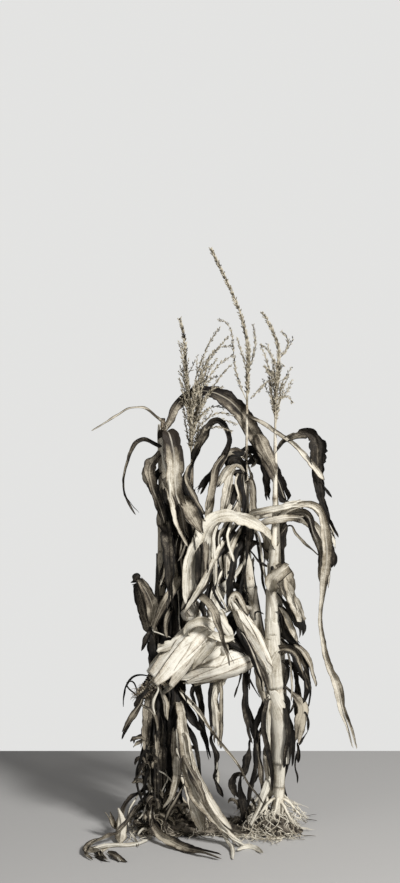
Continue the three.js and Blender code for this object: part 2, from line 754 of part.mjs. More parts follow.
function tassel(name, stem, { legs, bare, branches }) {
  const foot = stem.frameAt(1);
  const axis = route(foot.point.clone().addScaledVector(foot.forward, GAP), legs);
  const bodies = [limb(axis, TASSEL_STEM_RADII, 3, legs.length)];
  bodies.push(...spikelets(axis, bare).filter(isFree));
  for (const { at, legs: branchLegs } of branches) {
    const path = route(axis.frameAt(at).point, branchLegs);
    const branch = limb(path, TASSEL_BRANCH_RADII, 3, branchLegs.length + 1);
    if (isFree(branch)) {
      bodies.push(branch, ...spikelets(path, SPIKELET_START).filter(isFree));
    }
  }
  tassels.add(finish(name, bodies, bodies, tasselTan));
}

tassel("tassel_centre", centreStalk, {
  legs: [[77, 89, 0], [55, 90, 0], [56, 101, 0], [48, 112, 0], [48, 114, 0], [44, 117, 0], [33, 115, 0]],
  bare: 0.06,
  branches: [
    {
      at: 0.02,
      legs: [[43, 66, 180], [46, 76, 178], [44, 87, 175], [33, 82, 175], [19, 54, 178], [20, 14, 180]],
    },
    { at: 0.18, legs: [[45, 76, 190], [42, 71, 185]] },
    { at: 0.2, legs: [[40, 70, 10], [33, 82, 5], [36, 101, 0]] },
    { at: 0.1, legs: [[50, 68, -80], [45, 76, -85]] },
    { at: 0.14, legs: [[46, 66, 80], [50, 74, 90]] },
  ],
});

tassel("tassel_right", rightStalk, {
  legs: [[66, 90, 0], [55, 86, 0], [55, 85, 0], [35, 109, 0], [31, 115, 0], [25, 121, 0]],
  bare: 0.12,
  branches: [
    { at: 0.58, legs: [[34, 50, 0], [22, 96, 0], [21, 135, 0]] },
    { at: 0.5, legs: [[34, 66, 190], [18, 56, 185], [14, 27, 180]] },
    { at: 0.4, legs: [[20, 10, 175], [30, -50, 175], [25, -45, 180]] },
    { at: 0.3, legs: [[40, 60, -70], [35, 76, -80]] },
    { at: 0.33, legs: [[40, 60, 100], [35, 76, 90]] },
    { at: 0.25, legs: [[30, 20, 10], [22, -60, 10]] },
  ],
});

// The bushy tassel fans out to both sides, further to the right, by a seeded rule.
function fan(count) {
  const branches = [];
  for (let i = 0; i < count; i += 1) {
    const right = i % 5 < 3;
    const heading = (right ? 0 : 180) + random(-60, 60);
    const reach = right ? random(56, 84) : random(46, 58);
    const rise = right ? random(52, 72) : random(70, 82);
    const tip = right ? random(0, 62) : random(50, 80);
    branches.push({
      at: 0.1 + (0.4 * i) / count,
      legs: [[reach, (rise + 90) / 2, heading], [reach, rise, heading + 10], [reach * 0.6, tip, heading + 15]],
    });
  }
  return branches;
}

tassel("tassel_left", leftStalk, {
  legs: [[139, 92, 0], [67, 98, 0], [55, 90, 0], [33, 100, 0], [27, 105, 0]],
  bare: 0.1,
  branches: fan(10),
});

const plant = new THREE.Group();
plant.add(stalks, ears, tassels, leaves);

export default plant;
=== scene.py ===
from bisect import bisect_right
from math import cos, exp, pi, radians, sin
from random import Random

import bmesh
import bpy
from mathutils import Matrix, Vector, noise


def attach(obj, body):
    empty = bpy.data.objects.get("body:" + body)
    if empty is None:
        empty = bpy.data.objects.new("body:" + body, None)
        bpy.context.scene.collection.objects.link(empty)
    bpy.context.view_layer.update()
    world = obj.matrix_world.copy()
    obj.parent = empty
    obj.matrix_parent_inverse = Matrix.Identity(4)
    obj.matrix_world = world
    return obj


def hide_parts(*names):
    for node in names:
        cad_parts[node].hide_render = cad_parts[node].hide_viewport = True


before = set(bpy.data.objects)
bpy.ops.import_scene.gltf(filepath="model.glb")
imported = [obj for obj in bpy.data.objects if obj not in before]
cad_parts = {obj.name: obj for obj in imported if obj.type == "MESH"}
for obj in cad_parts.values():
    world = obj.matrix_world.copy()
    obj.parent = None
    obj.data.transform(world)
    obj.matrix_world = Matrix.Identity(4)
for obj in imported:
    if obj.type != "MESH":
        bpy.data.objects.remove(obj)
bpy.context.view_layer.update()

# Camera
# It stands 3.2 m in front of the plant, a little to the left of its middle, and looks slightly down,
# so that the floor in front of the roots and the tip of the tallest tassel are both in the picture.
CAMERA_PLACE = Vector((-0.055, -3.2, 1.112))
CAMERA_TILT = radians(4.36)
CAMERA_LENS = 59.6

camera_data = bpy.data.cameras.new("camera")
camera_data.lens = CAMERA_LENS
camera = bpy.data.objects.new("camera", camera_data)
camera.location = CAMERA_PLACE
camera.rotation_euler = (pi / 2 - CAMERA_TILT, 0, 0)
bpy.context.scene.collection.objects.link(camera)
bpy.context.scene.camera = camera

# Stalks
# Four dry canes that grew from one crown. Each is ribbed along its length, thickens at its node rings,
# and is bleached straw with brown rings and stains. Sizes are in millimetres until a piece is finished.
MM = 0.001
STALK_RIGHT_POINTS = [
    (120, 0, 22), (122, 0, 110), (126, 0, 200), (116, 0, 290), (107, 0, 380),
    (105, 0, 470), (107, 0, 605), (110, 0, 720), (110, 0, 893),
]
STALK_CENTRE_POINTS = [
    (78, 30, 18), (104, 30, 90), (110, 30, 190), (102, 30, 306), (84, 30, 397),
    (66, 30, 488), (52, 30, 578), (47, 30, 690), (48, 30, 825), (49, 30, 947),
]
STALK_LEFT_POINTS = [
    (-118, 20, 22), (-119, 20, 150), (-111, 20, 286), (-100, 20, 422),
    (-86, 20, 557), (-77, 20, 692), (-73, 20, 819),
]
STALK_OUTER_POINTS = [
    (-150, -12, 22), (-161, -12, 120), (-162, -12, 203), (-157, -10, 339), (-148, -10, 473),
    (-139, -10, 607), (-137, -10, 740), (-138, -10, 839), (-136, -10, 920),
]
LINE_STEPS = 24
HALVINGS = 24
FRAME_REACH = 2


def along(values, t):
    """The value at a share t of the way along a list of evenly spaced values."""
    place = min(max(t, 0.0), 1.0) * (len(values) - 1)
    index = min(int(place), len(values) - 2)
    return values[index] + (values[index + 1] - values[index]) * (place - index)


class Path:
    """A line in space, read by the share of its length that lies behind a spot on it."""

    def __init__(self, points, side_at):
        self.points = points
        self.side_at = side_at
        self.lengths = [0.0]
        for before, after in zip(points, points[1:]):
            self.lengths.append(self.lengths[-1] + (after - before).length)
        self.length = self.lengths[-1]

    def point(self, t):
        """The point at a share of the line's length."""
        run = min(max(t, 0.0), 1.0) * self.length
        index = min(bisect_right(self.lengths, run) - 1, len(self.points) - 2)
        span = self.lengths[index + 1] - self.lengths[index]
        return self.points[index].lerp(self.points[index + 1], (run - self.lengths[index]) / span)

    def frame(self, t):
        """The point at a share of the length, and the directions along, across and off the line there."""
        step = FRAME_REACH / self.length
        forward = (self.point(t + step) - self.point(t - step)).normalized()
        side = self.side_at(t, forward)
        side = (side - forward * side.dot(forward)).normalized()
        return self.point(t), forward, side, forward.cross(side)

    def share_at(self, height):
        """The share of a rising line's length at which it reaches a height."""
        low, high = 0.0, 1.0
        for _ in range(HALVINGS):
            middle = (low + high) / 2
            if self.point(middle).z < height:
                low = middle
            else:
                high = middle
        return low


def smooth_line(points, side=(1, 0, 0)):
    """A line that passes smoothly through every one of its points."""
    corners = [Vector(point) for point in points]
    corners = [corners[0] * 2 - corners[1], *corners, corners[-1] * 2 - corners[-2]]
    line = [corners[1]]
    for a, b, c, d in zip(corners, corners[1:], corners[2:], corners[3:]):
        for step in range(1, LINE_STEPS + 1):
            t = step / LINE_STEPS
            swing = (c - a) * t + (a * 2 - b * 5 + c * 4 - d) * t * t + (b * 3 - c * 3 + d - a) * t ** 3
            line.append(b + swing / 2)
    return Path(line, lambda t, forward: Vector(side))


TEAR_MARGIN = 0.0001
SEED_SHIFT = 1370
WELD_DISTANCE = 0.001
BUMP_LENGTH = 9
FLOOR_CLEARANCE = 0.5


def fresh():
    """An empty mesh whose faces carry a UV map and whose corners carry how dark they are."""
    bm = bmesh.new()
    bm.loops.layers.uv.new("UVMap")
    bm.verts.layers.float.new("tone")
    return bm


def gather(whole, part):
    """Moves a part into a larger mesh. A small mesh is far quicker to build, so parts are made apart."""
    held = bpy.data.meshes.new("part")
    part.to_mesh(held)
    part.free()
    whole.from_mesh(held)
    bpy.data.meshes.remove(held)


def grid(bm, columns, rows, place, tone, width, length, seed=0, tears=()):
    """Adds a grid of faces. place(x, t, strip) moves each corner, with x from -1 to 1 and t from 0 to 1.
    The UV map holds metres across and along. Each tear (x, t) parts the grid from t to its far end."""
    uv = bm.loops.layers.uv["UVMap"]
    shade = bm.verts.layers.float["tone"]
    made = bmesh.ops.create_grid(bm, x_segments=columns, y_segments=rows, size=1)["verts"]
    faces = list({face for vert in made for face in vert.link_faces})
    tear_columns = []
    for x, start in tears:
        column = round((x + 1) / 2 * columns) / columns * 2 - 1
        tear_columns.append(column)
        first = start * 2 - 1 - TEAR_MARGIN
        edges = {edge for vert in made for edge in vert.link_edges}
        torn = [
            edge for edge in edges
            if all(abs(vert.co.x - column) < TEAR_MARGIN and vert.co.y > first for vert in edge.verts)
        ]
        bmesh.ops.split_edges(bm, edges=torn)
        made = list({vert for face in faces for vert in face.verts})
    spots = []
    for vert in made:
        middle = sum(face.calc_center_median().x for face in vert.link_faces) / len(vert.link_faces)
        strip = sum(middle > column for column in tear_columns)
        spots.append((vert, vert.co.x, (vert.co.y + 1) / 2, strip))
    for face in faces:
        for loop in face.loops:
            x, y = loop.vert.co.x, (loop.vert.co.y + 1) / 2
            loop[uv].uv = (x * width / 2 * MM, (y * length + seed * SEED_SHIFT) * MM)
    for vert, x, t, strip in spots:
        vert[shade] = tone(x, t)
        vert.co = place(x, t, strip)
    return made


def tube(bm, sides, rows, place, tone, width, length, seed=0):
    """Adds a closed tube. place(angle, t) gives each corner, and tone(angle, t) how dark it is."""
    part = fresh()
    made = grid(
        part, sides, rows, lambda x, t, strip: place((x + 1) * pi, t),
        lambda x, t: tone((x + 1) * pi, t), width, length, seed,
    )
    bmesh.ops.remove_doubles(part, verts=made, dist=WELD_DISTANCE)
    bmesh.ops.holes_fill(part, edges=[edge for edge in part.edges if edge.is_boundary], sides=0)
    gather(bm, part)


def limb(bm, path, radii, sides, rows, shade=0.5, seed=0, rough=0.0):
    """Adds a round limb along a path, with radii given evenly from its foot to its tip."""
    frames = [path.frame(row / rows) for row in range(rows + 1)]

    def place(angle, t):
        point, forward, side, up = frames[round(t * rows)]
        out = side * cos(angle) + up * sin(angle)
        bump = 1 + rough * noise.noise(point / BUMP_LENGTH + out + Vector((seed, 0, 0)))
        return point + out * along(radii, t) * bump

    tube(bm, sides, rows, place, lambda angle, t: shade, 2 * pi * max(radii), path.length, seed)


def piece(bm, name, finish, slot, wall=0.0, stands_for=()):
    """Turns a mesh in millimetres into a finished piece, with a wall where it is a thin sheet."""
    for vert in bm.verts:
        vert.co.z = max(vert.co.z, FLOOR_CLEARANCE)
    bmesh.ops.scale(bm, vec=(MM, MM, MM), verts=bm.verts)
    mesh = bpy.data.meshes.new(name)
    bm.to_mesh(mesh)
    bm.free()
    mesh.shade_smooth()
    mesh.materials.append(finish)
    made = bpy.data.objects.new(name, mesh)
    bpy.context.scene.collection.objects.link(made)
    if wall:
        solid = made.modifiers.new("wall", "SOLIDIFY")
        solid.thickness = wall * MM
        solid.offset = 0
    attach(made, "root")
    if stands_for:
        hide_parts(*stands_for)


def node(tree, kind, inputs, **settings):
    """Adds a shader node. Each input is a value, or the socket that it is linked from."""
    made = tree.nodes.new("ShaderNode" + kind)
    for key, value in settings.items():
        setattr(made, key, value)
    for key, value in inputs.items():
        if isinstance(value, bpy.types.NodeSocket):
            tree.links.new(value, made.inputs[key])
        else:
            made.inputs[key].default_value = value
    return made


SWAY = 0.004
SWAY_SCALE = 45
STAIN_SCALE = 26
SPECK_SCALE = 420
SPECULAR = 0.2
BUMP_STRENGTH = 0.6
RIB_EDGE = 1.8


def dried(name, pale, middle, deep, roughness, across=300, run=7, relief=1.5, midrib=0.0):
    """Dried plant skin: streaks and veins run along the UV map, stains lie anywhere, the tone darkens it.
    across and run say how fine the streaks are, relief how high in millimetres, and midrib how wide it is."""
    material = bpy.data.materials.new(name)
    material.use_nodes = True
    tree = material.node_tree
    shader = tree.nodes["Principled BSDF"]
    uv = node(tree, "UVMap", {}, uv_map="UVMap").outputs["UV"]
    place = node(tree, "TexCoord", {}).outputs["Object"]
    sway = node(tree, "TexNoise", {"Vector": place, "Scale": SWAY_SCALE, "Detail": 2}).outputs["Color"]
    wavy = node(
        tree, "VectorMath", {0: sway, 1: (SWAY, SWAY, 0), 2: uv}, operation="MULTIPLY_ADD").outputs["Vector"]

    def streaks(wide, long, detail):
        spread = node(tree, "Mapping", {"Vector": wavy, "Scale": (wide, long, 1)}).outputs["Vector"]
        return node(tree, "TexNoise", {"Vector": spread, "Scale": 1, "Detail": detail}).outputs["Fac"]

    def added(pattern, strength, level):
        centred = node(tree, "Math", {0: pattern, 1: 0.5}, operation="SUBTRACT").outputs[0]
        return node(tree, "Math", {0: centred, 1: strength, 2: level}, operation="MULTIPLY_ADD").outputs[0]

    bands = streaks(across * 0.25, run * 1.2, 3)
    lines = streaks(across, run, 3)
    veins = streaks(across * 4, run * 2.5, 2)
    stain_inputs = {"Vector": place, "Scale": STAIN_SCALE, "Detail": 7, "Roughness": 0.7}
    stains = node(tree, "TexNoise", stain_inputs).outputs["Fac"]
    specks = node(tree, "TexNoise", {"Vector": place, "Scale": SPECK_SCALE, "Detail": 2}).outputs["Fac"]
    level = node(tree, "Attribute", {}, attribute_name="tone").outputs["Fac"]
    for pattern, strength in ((bands, 1.2), (lines, 0.9), (veins, 0.9), (stains, 2.2), (specks, 0.7)):
        level = added(pattern, strength, level)
    ramp = node(tree, "ValToRGB", {"Fac": level})
    ramp.color_ramp.elements[0].color = (*pale, 1)
    ramp.color_ramp.elements[1].color = (*deep, 1)
    ramp.color_ramp.elements.new(0.5).color = (*middle, 1)
    colour = ramp.outputs["Color"]
    height = node(tree, "Math", {0: lines, 1: 1.3, 2: veins}, operation="MULTIPLY_ADD").outputs[0]
    height = node(tree, "Math", {0: bands, 1: 1.5, 2: height}, operation="MULTIPLY_ADD").outputs[0]
    if midrib:
        across_leaf = node(tree, "SeparateXYZ", {"Vector": uv}).outputs["X"]
        away = node(tree, "Math", {0: across_leaf}, operation="ABSOLUTE").outputs[0]
        start, end = midrib * MM, midrib * RIB_EDGE * MM
        reach = {"Value": away, "From Min": start, "From Max": end, "To Min": 1.0, "To Max": 0.0}
        rib = node(tree, "MapRange", reach).outputs["Result"]
        worn = node(tree, "Math", {0: stains, 1: rib, 2: 0.0}, operation="MULTIPLY_ADD").outputs[0]
        colour = node(tree, "Mix", {0: worn, 6: colour, 7: (*pale, 1)}, data_type="RGBA").outputs[2]
        height = node(tree, "Math", {0: rib, 1: 1.5, 2: height}, operation="MULTIPLY_ADD").outputs[0]
    bump_inputs = {"Height": height, "Strength": BUMP_STRENGTH, "Distance": relief * MM}
    bump = node(tree, "Bump", bump_inputs).outputs["Normal"]
    tree.links.new(colour, shader.inputs["Base Color"])
    tree.links.new(bump, shader.inputs["Normal"])
    shader.inputs["Roughness"].default_value = roughness
    shader.inputs["Specular IOR Level"].default_value = SPECULAR
    return material


CANE_SIDES = 28
CANE_ROW = 5
CANE_GIRTH = 0.97
CANE_RIBS = 9
RIB_DEPTH = 0.025
DENT_DEPTH = 0.05
RING_HEIGHT = 2.0
RING_HALF_LENGTH = 5
RING_SHADE = 0.5
STAIN_SHADE = 0.25


def cane(name, points, radii, rings, shade, sheath_look):
    """A stalk as a ribbed, dented and stained tube, with a thick dark ring at each of the given heights."""
    stalk = smooth_line(points)
    stalk.radii = radii
    stalk.sheath_look = sheath_look
    rows = round(stalk.length / CANE_ROW)
    frames = [stalk.frame(row / rows) for row in range(rows + 1)]

    def swelling(height):
        return max((exp(-((height - ring) / RING_HALF_LENGTH) ** 2) for ring in rings), default=0)

    def place(angle, t):
        point, forward, side, up = frames[round(t * rows)]
        out = side * cos(angle) + up * sin(angle)
        radius = along(radii, t)
        dent = noise.noise(Vector((angle * 2, point.z / 60, len(rings))))
        girth = CANE_GIRTH + RIB_DEPTH * cos(angle * CANE_RIBS) + DENT_DEPTH * dent
        return point + out * (radius * girth + RING_HEIGHT * swelling(point.z) * min(1, radius / 9))

    def tone(angle, t):
        height = frames[round(t * rows)][0].z
        stain = max(0.0, noise.noise(Vector((angle, height / 35, 9))))
        return shade + RING_SHADE * swelling(height) + STAIN_SHADE * stain

    bm = fresh()
    tube(bm, CANE_SIDES, rows, place, tone, 2 * pi * max(radii), stalk.length, len(points))
    piece(bm, name + "_cane", cane_finish, "stalk", stands_for=[name])
    return stalk


cane_finish = dried(
    "dry_cane", (0.76, 0.71, 0.60), (0.34, 0.28, 0.20), (0.03, 0.023, 0.016), 0.5,
    across=500, run=4, relief=0.7)
stalk_right = cane(
    "stalk_right", STALK_RIGHT_POINTS, radii=[13, 11, 14, 17, 16, 15, 12, 9, 6.5, 5.5, 5, 3],
    rings=[95, 150, 232, 315, 402, 520, 610, 742], shade=0.0, sheath_look="leaf_bright")
stalk_centre = cane(
    "stalk_centre", STALK_CENTRE_POINTS, radii=[10, 10, 11, 10, 9, 9.5, 10, 7, 3.5, 3, 2.8],
    rings=[70, 130, 220, 320, 420, 560, 700], shade=0.2, sheath_look="leaf_pale")
stalk_left = cane(
    "stalk_left", STALK_LEFT_POINTS, radii=[12, 10, 10, 10, 9, 8.5, 8, 6, 4],
    rings=[60, 140, 250, 370, 500, 640], shade=0.8, sheath_look="leaf_tan")
stalk_outer = cane(
    "stalk_outer", STALK_OUTER_POINTS, radii=[12, 10, 10, 10, 9, 8.5, 8, 7, 6.5, 5],
    rings=[60, 130, 240, 360, 480, 620, 760, 880], shade=0.75, sheath_look="leaf_tan")

# Leaves
# A dead leaf is a thin ribbed strap with a pale midrib. It leaves its stalk at a collar, bends over and
# hangs, rolled, rippled at its edges, torn and frayed at its tip. Each follows its own route from its stalk.
leaf_looks = {
    "leaf_bright": dried(
        "bleached_leaf", (0.70, 0.66, 0.565), (0.42, 0.375, 0.29), (0.06, 0.047, 0.034), 0.5,
        across=260, run=6, relief=1.8, midrib=1.2),
    "leaf_pale": dried(
        "pale_leaf", (0.66, 0.61, 0.51), (0.28, 0.24, 0.175), (0.03, 0.023, 0.017), 0.55,
        across=260, run=6, relief=1.7, midrib=1.3),
    "leaf_tan": dried(
        "tan_leaf", (0.46, 0.41, 0.32), (0.125, 0.103, 0.075), (0.013, 0.01, 0.008), 0.6,
        across=260, run=6, relief=1.8, midrib=1.2),
    "leaf_dark": dried(
        "dark_leaf", (0.30, 0.26, 0.195), (0.038, 0.031, 0.023), (0.006, 0.005, 0.004), 0.65,
        across=240, run=6, relief=1.8),
}
leaf_shades = {"leaf_bright": 0.0, "leaf_pale": 0.05, "leaf_tan": 0.15, "leaf_dark": 0.4}


def direction(rise, heading):
    """A heading of 0 points to the right, 90 to the back, 180 to the left and -90 to the front."""
    level = cos(radians(rise))
    return Vector((level * cos(radians(heading)), level * sin(radians(heading)), sin(radians(rise))))


def rounded(corners):
    """The chain of corners with each corner rounded, and where in it the middle of each leg lies."""
    middles = [(a + b) / 2 for a, b in zip(corners, corners[1:])]
    line = [corners[0], middles[0]]
    marks = [1]
    for before, corner, after in zip(middles, corners[1:], middles[1:]):
        for step in range(1, LINE_STEPS + 1):
            t = step / LINE_STEPS
            line.append(before.lerp(corner, t).lerp(corner.lerp(after, t), t))
        marks.append(len(line) - 1)
    return [*line, corners[-1]], marks


def route(start, legs):
    """A chain of legs, each (length, rise, heading, turn of the blade), with its corners rounded.
    Heading and turn change evenly from the middle of one leg to the middle of the next."""
    legs = [(*leg, 0)[:4] for leg in legs]
    corners = [Vector(start)]
    for length, rise, heading, _ in legs:
        corners.append(corners[-1] + direction(rise, heading) * length)
    line, marks = rounded(corners)

    def side_at(t, forward):
        run = min(max(t, 0.0), 1.0) * path.length
        after = bisect_right(turns_at, run)
        before = max(after - 1, 0)
        after = min(after, len(legs) - 1)
        span = turns_at[after] - turns_at[before]
        share = (run - turns_at[before]) / span if span > 0 else 0
        heading = radians(legs[before][2] + (legs[after][2] - legs[before][2]) * share)
        turn = radians(legs[before][3] + (legs[after][3] - legs[before][3]) * share)
        level = Vector((-sin(heading), cos(heading), 0))
        level = (level - forward * level.dot(forward)).normalized()
        return Matrix.Rotation(turn, 3, forward) @ level

    path = Path(line, side_at)
    turns_at = [path.lengths[mark] for mark in marks]
    return path


BLADE_COLUMN = 2.2
BLADE_ROW = 4.5
BLADE_WALL = 0.7
TORN_WIDTH = 18
TEAR_PLACES = (-0.6, 0.6)
TEAR_STARTS = (0.78, 0.93)
TEAR_GAP = 4
TEAR_LEAN = 12
WAVE_LENGTHS = (34, 62)
SETTLED_LENGTH = 40
CLASP_FOLD = 30
CLASP_LENGTH = 22
LINE_SHIFT = 5
EDGE_SHADE = 0.6
PATCH_SHADE = 0.5


def blade(
        bm, path, widths, fold, tones, seed, curl=35, ripple=2.5, crumple=2.2, pleat=0.9, ragged=0.35,
        wander=20, tip=1.6, skew=0.0, tears=None):
    """Adds a strap leaf along a path. fold is the V at its midrib, curl how far each half rolls in, ripple
    the waves at its edges, crumple its creases, pleat the fine folds along it, ragged its worn edges, wander
    how unevenly it twists, tip the length of its point for its width, and skew how much darker one half is
    painted, as painted shade on one side of its V fold.
    Each tear (x, t) splits it from a share of its length to its tip. The last numbers of each wobble only
    keep its waves apart from the others."""
    widest = max(widths)
    columns = max(6, 2 * round(widest / BLADE_COLUMN / 2))
    rows = max(12, round(path.length / BLADE_ROW))
    frames = [path.frame(row / rows) for row in range(rows + 1)]
    dice = Random(seed)
    start = Vector((dice.uniform(0, 90), dice.uniform(0, 90), dice.uniform(0, 90)))
    wave_lengths = [dice.uniform(*WAVE_LENGTHS), dice.uniform(*WAVE_LENGTHS)]
    wave_starts = [dice.uniform(0, 6), dice.uniform(0, 6)]
    if tears is None:
        tears = [(dice.uniform(*TEAR_PLACES), dice.uniform(*TEAR_STARTS))] if widest > TORN_WIDTH else []
    tears = sorted(tears)
    strip_leans = [dice.uniform(-1, 1) for _ in tears]

    def wobble(a, b, c=0.0):
        return noise.noise(start + Vector((a, b, c)))

    def crease(a, b, c):
        return 0.25 - abs(wobble(a, b, c))

    def place(x, t, strip):
        point, forward, side, up = frames[round(t * rows)]
        run = t * path.length
        settled = min(1.0, run / SETTLED_LENGTH)
        twist = radians(wander) * (2 * wobble(run / 75, 0) + 1.6 * crease(run / 40, 0, 40)) * settled
        side, up = side * cos(twist) + up * sin(twist), up * cos(twist) - side * sin(twist)
        half = (along(widths, t - 0.02) + along(widths, t + 0.02)) / 4
        half *= min(1.0, (path.length - run) / (tip * half + 1) + 0.04) ** 0.8
        edge = abs(x)
        right = x > 0
        worn = wobble(run / 13, 7 + 9 * right) + 0.3 * wobble(run / 4, 30 + 9 * right)
        half *= 1 - ragged * edge * max(0.0, worn)
        bend = radians(fold + CLASP_FOLD * exp(-run / CLASP_LENGTH)) * (1 + 0.5 * wobble(run / 60, 50))
        roll = radians(curl) * (1 + 1.6 * wobble(run / 80, 60 + 20 * right)) + 0.02
        out = half * (sin(bend + roll * edge) - sin(bend)) / roll
        lift = half * (cos(bend) - cos(bend + roll * edge)) / roll
        swell = 0.5 + wobble(run / 70, 90 + 5 * right)
        lift += ripple * edge ** 2 * swell * sin(2 * pi * run / wave_lengths[right] + wave_starts[right])
        dent = crease(x * half / 11, run / 40, 3) + 0.5 * wobble(x * half / 5, run / 17, 8)
        lift += settled * crumple * dent
        lift += settled * pleat * crease(x * half / 3.4, run / 90, 15)
        for number, ((_, tear_start), lean) in enumerate(zip(tears, strip_leans)):
            gone = max(0.0, (t - tear_start) / (1 - tear_start))
            past = strip > number
            out += (1 if past == right else -1) * TEAR_GAP * gone * gone * (1 if past else 0.4)
            lift += lean * TEAR_LEAN * gone ** 1.5 * (1 if past else -0.6)
        shift = side * wobble(run / 60, 120) + up * (wobble(run / 60, 140) + 0.8 * crease(run / 30, 0, 160))
        return point + shift * LINE_SHIFT * settled + side * (out if right else -out) + up * lift

    def tone(x, t):
        patch = max(0.0, wobble(x * 2, t * path.length / 45, 20))
        # The tone paints one half darker by skew, as painted shade on one side of the V fold; the edges and
        # random patches are darker too.
        return along(tones, t) + skew * x + EDGE_SHADE * abs(x) ** 7 + PATCH_SHADE * patch

    part = fresh()
    grid(part, columns, rows, place, tone, widest, path.length, seed, tears)
    gather(bm, part)


leaf_seed = 0
leaf_paths = {}


def grow(bm, look, stalk, at, widths, fold, legs, tones, shape=None):
    """Adds a leaf that leaves its stalk at a height, and gives the line that it follows."""
    global leaf_seed
    leaf_seed += 1
    path = route(stalk.point(stalk.share_at(at)), legs)
    blade(bm, path, widths, fold, [tone + leaf_shades[look] for tone in tones], leaf_seed, **(shape or {}))
    return path


def leaf(name, look, stalk, at, widths, fold, legs, tones, stands_for=None, **shape):
    """A leaf of its own, which stands for the CAD leaf of the same name, or for the halves of one."""
    bm = fresh()
    leaf_paths[name] = grow(bm, look, stalk, at, widths, fold, legs, tones, shape)
    piece(bm, name + "_blade", leaf_looks[look], look, BLADE_WALL, stands_for or [name])


SHEATH_COLUMNS = 22
SHEATH_ROW = 6
SHEATH_WRAP = 1.12
SHEATH_FLARE = 4
SHEATH_RIM = 12


def sheath(bm, stalk, bottom, top, clear, opening, tones, seed):
    """Adds the base of a leaf, which wraps its stalk from a ring up to the collar. Its edges overlap at
    the opening's heading, and it stands off and splits open towards its top."""
    low, high = stalk.share_at(bottom), stalk.share_at(top)
    rows = max(6, round((top - bottom) / SHEATH_ROW))
    frames = [stalk.frame(low + (high - low) * row / rows) for row in range(rows + 1)]

    def place(x, t, strip):
        point, forward, side, up = frames[round(t * rows)]
        wrap = pi * (SHEATH_WRAP - 0.5 * t ** 3)
        angle = radians(opening) + pi + x * wrap
        out = side * cos(angle) + up * sin(angle)
        radius = along(stalk.radii, low + (high - low) * t) + clear + 0.9 * x
        radius += SHEATH_FLARE * t ** 3 * (0.6 + noise.noise(Vector((x * 2, seed, t * 3))))
        radius += 0.8 * noise.noise(Vector((x * 5, t * 4, seed)))
        rim = SHEATH_RIM * noise.noise(Vector((x * 3, seed * 2.0, 5))) * t ** 4
        return point + out * radius + forward * rim

    around = 2 * pi * max(stalk.radii)
    grid(bm, SHEATH_COLUMNS, rows, place, lambda x, t: along(tones, t), around, top - bottom, seed)


CLUSTER_SHEATH_DROP = 30
CLUSTER_SHEATH_CLEAR = 2.2
CLUSTER_SHEATH_TURN = 77


def cluster(name, look, stalk, top, bottom, leaves):
    """Leaves that grew from one stretch of stalk, as one piece, and the sheath that wraps it as another."""
    global leaf_seed
    leaf_seed += 1
    bm = fresh()
    opening = leaf_seed * CLUSTER_SHEATH_TURN
    low = bottom - CLUSTER_SHEATH_DROP
    sheath(bm, stalk, low, top, CLUSTER_SHEATH_CLEAR, opening, [0.1, 0.2, 0.3], leaf_seed)
    piece(bm, name + "_sheath", leaf_looks[stalk.sheath_look], stalk.sheath_look, BLADE_WALL)
    bm = fresh()
    for values in leaves:
        grow(bm, look, stalk, *values)
    piece(bm, name + "_blades", leaf_looks[look], look, BLADE_WALL, [name])


# Leaves of the outer stalk
# Thin dry straps, tan, pale and dark, each held by its base at a ring of the cane. The flag leaf arches
# high over to the right, and the rest hang from the upper rings or wrap the bundle.
leaf("leaf_flag_arch", "leaf_tan", stalk_outer, 894, [20, 26, 20, 46, 40, 38, 34, 30], 15,
     [(80, 50, 42, 80), (60, 35, 26, 80), (90, -27, 2, 80), (102, -59, -8, 80), (78, -65, -8, 80),
      (67, -66, 0, 80)], [0.4, 0.5, 0.9, 0.8, 0.5, 0.2, 0.2, 0.9, 1.2],
     ["leaf_flag_arch_rise", "leaf_flag_arch_fall"], curl=20, wander=6, skew=0.25, tip=0.5)
leaf("leaf_flag_thin", "leaf_pale", stalk_outer, 907, [14, 9, 7, 5], 30,
     [(70, 44, -162, -50), (124, -29, -167, -70)], [0.4, 0.1, 0.1, 0.0], curl=80, wander=5)
leaf("leaf_left_curl", "leaf_dark", stalk_outer, 850, [22, 20, 10, 9, 9, 5], 20,
     [(66, 29, -154, -50), (64, -64, -174, -60), (60, -86, -180, -80), (60, -119, -178, -80)],
     [0.5, 0.2, -0.2, -0.1, 0.0, 0.2], curl=60)
leaf("leaf_left_loop", "leaf_tan", stalk_outer, 835, [26, 31, 31, 24, 14, 8], 12,
     [(41, -20, -130), (46, -85, -110, -10), (59, -64, 4, 90), (72, -79, 13, 90)], [0.4, 0.5, 0.6, 0.6, 0.6],
     curl=40, skew=0.2)
leaf("leaf_left_broad", "leaf_pale", stalk_outer, 868, [26, 42, 44, 36, 26, 14], 8,
     [(44, 48, -57, 10), (60, -56, -70, 10), (65, -87, -90), (67, -79, 13, 90), (61, -72, 39, 100)],
     [1.7, 1.7, 0.9, 0.4, 0.2, 0.5, 0.9, 1.1], curl=16, ripple=3, skew=0.12)
leaf("leaf_left_strip", "leaf_pale", stalk_outer, 788, [14, 13, 13, 11, 6], 10,
     [(36, -1, -78), (60, -40, -75), (51, -68, -60, 20), (61, -59, 28, 90)], [0.4, 0.15, 0.05, 0.4], curl=20,
     ragged=0.6)
cluster("leaves_outer_middle", "leaf_dark", stalk_outer, 428, 365, [
    (416, [20, 40, 52, 44, 24], 12, [(78, 67, -124, 34), (86, 77, -149, 59), (22, -26, -173, 70)],
     [0.3, -0.2, -0.2, -0.1, 0.7], dict(crumple=3, ragged=0.5, curl=15)),
    (420, [18, 24, 26, 14], 25, [(86, 72, -34, -56), (61, 68, -13, -77)], [0.3, -0.2, 0.2],
     dict(ragged=0.4)),
])
